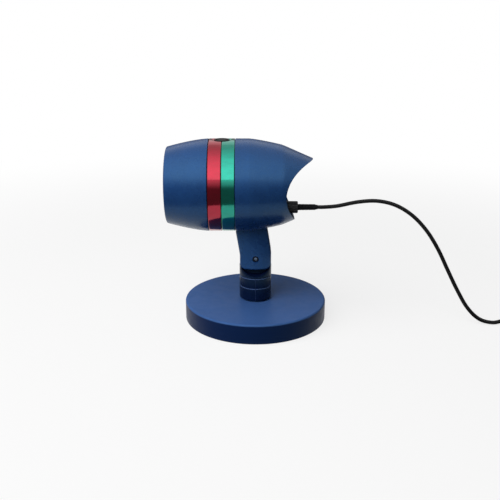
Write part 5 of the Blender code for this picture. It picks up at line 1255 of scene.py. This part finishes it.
def stand():
    top, wall, edge = COVER_HIGH.z, 2.6 * MM, 2.4 * MM
    inner, foot = BASE_RADIUS - wall, COVER_LOW.z
    cup, cup_foot = 13.0 * MM, SOCKET_FLOOR - 2 * MM
    corners = [
        (0, SOCKET_FLOOR, 0), (SOCKET_RADIUS, SOCKET_FLOOR, 0.3 * MM), (SOCKET_RADIUS, top, 0.6 * MM),
        (BASE_RADIUS, top, edge), (BASE_RADIUS, foot, 0.5 * MM), (inner, foot, 0.3 * MM),
        (inner, top - wall, MM), (cup, top - wall, 0.5 * MM), (cup, cup_foot, 0.3 * MM), (0, cup_foot, 0),
    ]
    cover = turned("stand_cover", rounded(corners, 9 * DEG), "Z", ORIGIN, 256)
    low, high, radius = extent("base_plate", "Z")

    def upright(name, radius, start, end):
        places = circle(BASE_SCREW_CIRCLE, 3, 60 * DEG)
        return [rod(name, radius, "Z", start, end, (x, y, 0), 32) for x, y in places]

    posts = upright("post", 4.5 * MM, high + GAP, top - wall / 2)
    cut(join(cover, *posts), *upright("bore", SCREW_BORE, 0, 15.1 * MM))
    piece(cover, STAND, "base_cover", "base")

    plate = turned("ground_plate", rounded(disc(radius, high, low, 0.3 * MM, 0.4 * MM)), "Z", ORIGIN, 256)
    cut(plate, *upright("hole", SCREW_BORE, 0, top), *upright("sink", SCREW_SINK, 0, low + 1.8 * MM))
    piece(plate, NAVY, "base_plate", "base")

    low, high, radius = extent("foot_pad", "Z")
    corners = disc(radius, high, low, 0.3 * MM, 0.5 * MM)
    turned_piece("foam_ring", corners, FOAM, "foot_pad", "Z", ORIGIN, 192, "base")


# Cord and what is on it


def lamp_lead_points():
    end = COUPLING_START - Vector((GAP, 0, 0))
    way = end - LEAD_START
    height = LEAD_START.z - CORD_RADIUS
    route = [
        (LEAD_START.x + along * way.x, LEAD_START.y + aside * way.y, CORD_RADIUS + share * height)
        for along, aside, share in LAMP_LEAD_ROUTE
    ]
    first = LEAD_START + Vector((3 * CORD_RADIUS, 0, 0))
    return smooth([LEAD_START, first, *route, end], 2.5 * MM)


def coil_points():
    """The coil's centreline: it spirals in and out again in layers, and climbs at each reversal."""
    points = []
    for t in (i / COIL_STEPS for i in range(round(LAYER_TURNS * COIL_LAYERS * COIL_STEPS) + 1)):
        layer = min(int(t / LAYER_TURNS), COIL_LAYERS - 1)
        part = t - layer * LAYER_TURNS
        inwards = part / LAYER_TURNS if layer % 2 == 0 else 1 - part / LAYER_TURNS
        radius = COIL_RADIUS - inwards * LAYER_TURNS * COIL_PITCH
        near = round(t / LAYER_TURNS)
        height = layer
        if 0 < near < COIL_LAYERS:
            climb = np.clip((t - near * LAYER_TURNS) / 0.5 + 0.5, 0, 1)
            height = near - 1 + climb * climb * (3 - 2 * climb)
        angle = math.tau * t - math.pi / 2
        z = COIL_LIFT + CORD_RADIUS + height * COIL_PITCH
        points.append(COIL_CENTRE + Vector((radius * math.cos(angle), radius * math.sin(angle), z)))
    return points


def supply_points():
    """From the coupling along the ground, round the coil and on to the adapter."""
    coil = coil_points()
    start = COUPLING_END + Vector((GAP, 0, 0))
    first = coil[0] - Vector((2 * CORD_RADIUS, 0, 0))
    straight = Vector((5 * MM, 0, 0))
    run = smooth([start, start + straight, first - straight, first], 3 * MM)
    last = coil[-1] + Vector((0, LEAD_OUT, 0))
    out = [coil[-1].lerp(last, share) for share in (0.25, 0.5, 0.75, 1)]
    return np.array([*run.tolist(), *coil, *out])


def cords():
    lamp_line = lamp_lead_points()
    lead = shaded(sweep("lamp_cord", lamp_line, circle(CORD_RADIUS, 24)), JACKET)
    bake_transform(lead)
    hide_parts("lamp_lead")
    supply = supply_points()
    cord = shaded(sweep("supply_cord", supply, circle(CORD_RADIUS, 16)), JACKET)
    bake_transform(cord)
    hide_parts("supply_lead", "supply_coil")


def ribbed_relief(start, end, small, large, ribs):
    """Corners of a tapered relief with rings round it, (radius, place, rounding), from its tip up."""
    corners = [(0, start, 0), (small, start, 0.3 * MM)]
    half = math.copysign(0.45 * MM, end - start)
    for i in range(ribs):
        share = (i + 0.7) / (ribs + 0.4)
        place = start + share * (end - start)
        radius = small + share * (large - small)
        corners += [
            (radius, place - half, 0.1 * MM), (radius - 0.35 * MM, place, 0.15 * MM),
            (radius + 0.05 * MM, place + half, 0.1 * MM),
        ]
    return corners + [(large, end, 0.2 * MM)]


def coupling():
    """The lead's watertight coupling: plug, socket and locking ring."""
    small, full, pin = CORD_RADIUS + 0.5 * MM, 6.3 * MM, 4.0 * MM
    relief, relief_end, neck = 9 * MM, 9.6 * MM, 0.62 * full
    ring_start, ring_end, _ = extent("coupling_ring", "X")
    start, end = COUPLING_START.x, COUPLING_END.x
    plug_end, mouth = ring_start - GAP, ring_end + GAP
    pin_end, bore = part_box("coupling_plug")[1].x, pin + GAP
    plug = [
        *ribbed_relief(start, start + relief, small, neck, 4), (full, start + relief_end, 0.8 * MM),
        (full, plug_end, 0.3 * MM), (pin, plug_end, 0), (pin, pin_end, 0.5 * MM), (0, pin_end, 0),
    ]
    turned_piece("plug_half", plug, RUBBER, "coupling_plug", "X", COUPLING_AXIS, 64, "washer")
    socket = [
        *ribbed_relief(end, end - relief, small, neck, 4), (full, end - relief_end, 0.8 * MM),
        (full, mouth, 0.3 * MM), (bore, mouth, 0.2 * MM), (bore, pin_end + GAP, 0), (0, pin_end + GAP, 0),
    ]
    turned_piece("socket_half", socket, RUBBER, "coupling_socket", "X", COUPLING_AXIS, 64, "washer")

    shape = rounded(ring(bore, 7.7 * MM, ring_start, ring_end, 0.2 * MM, 0.8 * MM))
    outline = divided([*shape, (bore, ring_start)], 0.8 * MM, lambda way: abs(way.y))

    def flute(r, x):
        inside = min(x - ring_start, ring_end - x) - 1.6 * MM
        return 0.45 * MM * np.clip(inside / (0.8 * MM), 0, 1) * (r > 6 * MM)

    knurled = fluted("lock_ring", outline, COUPLING_AXIS, 24, 2, flute, 192)
    piece(knurled, BLACK, "coupling_ring", "washer")


def straps():
    """Two flat straps round the whole bundle; the coil rests on them."""
    thick, half, corner, edge, room = MM, 2 * MM, 1.8 * MM, 0.3 * MM, 0.9 * MM
    inner = COIL_RADIUS - LAYER_TURNS * COIL_PITCH - CORD_RADIUS - room
    outer = COIL_RADIUS + CORD_RADIUS + room
    low, high = 0.8 * MM, COIL_LIFT + 2 * CORD_RADIUS + (COIL_LAYERS - 1) * COIL_PITCH + MM
    loop = [(outer, low), (outer, high), (inner, high), (inner, low)]
    line = rounded([(*spot, corner) for spot in loop], 8 * DEG)
    dense = divided([*line, line[0]], 2 * MM, lambda way: way.length)
    rim = [(-half, -thick / 2), (half, -thick / 2), (half, thick / 2), (-half, thick / 2)]
    section = rounded([(*spot, edge) for spot in rim], 30 * DEG)
    up = Vector((0, 0, 1))
    for i, angle in enumerate((math.pi / 2 + 0.6, 1.5 * math.pi + 0.6)):
        out = Vector((math.cos(angle), math.sin(angle), 0))
        side = out.cross(up)
        rows = []
        for j, (r, z) in enumerate(dense):
            way = (Vector(dense[(j + 1) % len(dense)]) - Vector(dense[j - 1])).normalized()
            place, normal = COIL_CENTRE + out * r + up * z, out * way.y - up * way.x
            rows.append([place + side * a + normal * b for a, b in section])
        strap = from_rows(f"strap_{i + 1}", [*rows, rows[0]])
        piece(strap, RUBBER, f"coil_tie_{i + 1}", "base")


def adapter():
    """The wall adapter, with its seam, grips, relief and blades."""
    start, end, _ = extent("adapter_relief", "Y")
    centre = middle("adapter_relief")
    corners = [*ribbed_relief(start, end, CORD_RADIUS + 0.4 * MM, 4.05 * MM, 5), (0, end, 0)]
    axis = (centre.x, 0, centre.z)
    turned_piece("wall_relief", corners, RUBBER, "adapter_relief", "Y", axis, 64, "base")

    low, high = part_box("adapter_body")
    centre = middle("adapter_body")
    body = box("wall_adapter", low, high, 4 * MM, 6)
    over, deep = Vector((MM, MM, MM)), 0.35 * MM
    tools = []
    for way, at_high in ((1, False), (1, True), (2, True), (2, False)):
        first, last = low - over, high + over
        first.x, last.x = centre.x - 4.3 * MM, centre.x - 3.9 * MM
        if at_high:
            first[way] = high[way] - deep
        else:
            last[way] = low[way] + deep
        tools.append(box("line", first, last))
    for side in (low.y, high.y):
        for k in range(6):
            spot = (0, side, centre.z + (k - 2.5) * 4 * MM)
            tools.append(rod("grip", 0.5 * MM, "X", centre.x - 13 * MM, centre.x - 6 * MM, spot, 16))
    piece(softened(cut(body, *tools), 0.1 * MM, 1), BLACK, "adapter_body", "base")

    for i in (1, 2):
        low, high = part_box(f"adapter_blade_{i}")
        eye = (high.x - 5 * MM, 0, (low.z + high.z) / 2)
        blade = box(f"blade_{i}", low, high, 0.35 * MM, 2)
        cut(blade, rod("eye", 1.5 * MM, "Y", low.y - MM, high.y + MM, eye))
        piece(softened(blade, 0.1 * MM, 1), BRASS, f"adapter_blade_{i}", "base")


def dress_cad():
    """Gives the CAD pieces that stay in the scene their materials."""
    screws = [f"carrier_screw_{i}" for i in (1, 2)] + [f"base_screw_{i}" for i in (1, 2, 3)]
    for look, nodes in (
        (BLACK, ["chassis"]),
        (ALUMINIUM, ["laser_carrier"]),
        (BRASS, ["red_laser_module", "green_laser_module"]),
        (BOARD, ["driver_board"]),
        (PARTS, ["board_capacitor", "board_connector", "mode_switch"]),
        (JACKET, ["wiring_loom"]),
        (CELL, ["photocell"]),
        (IRON, ["ballast_disc"]),
        (STEEL, ["pivot_bush", *screws]),
    ):
        for node in nodes:
            dressed(bpy.data.objects[node], look)


camera()
backdrop()
lamp()
floor()
cards()

housing()
front_body()
rings()
optics()
rear_panel()
mode_button()
gland()
knuckle()
grip_collar()
stud()
stud_washer()
pivot()
housing_screws()
stand()
coupling()
straps()
adapter()
dress_cad()
cords()
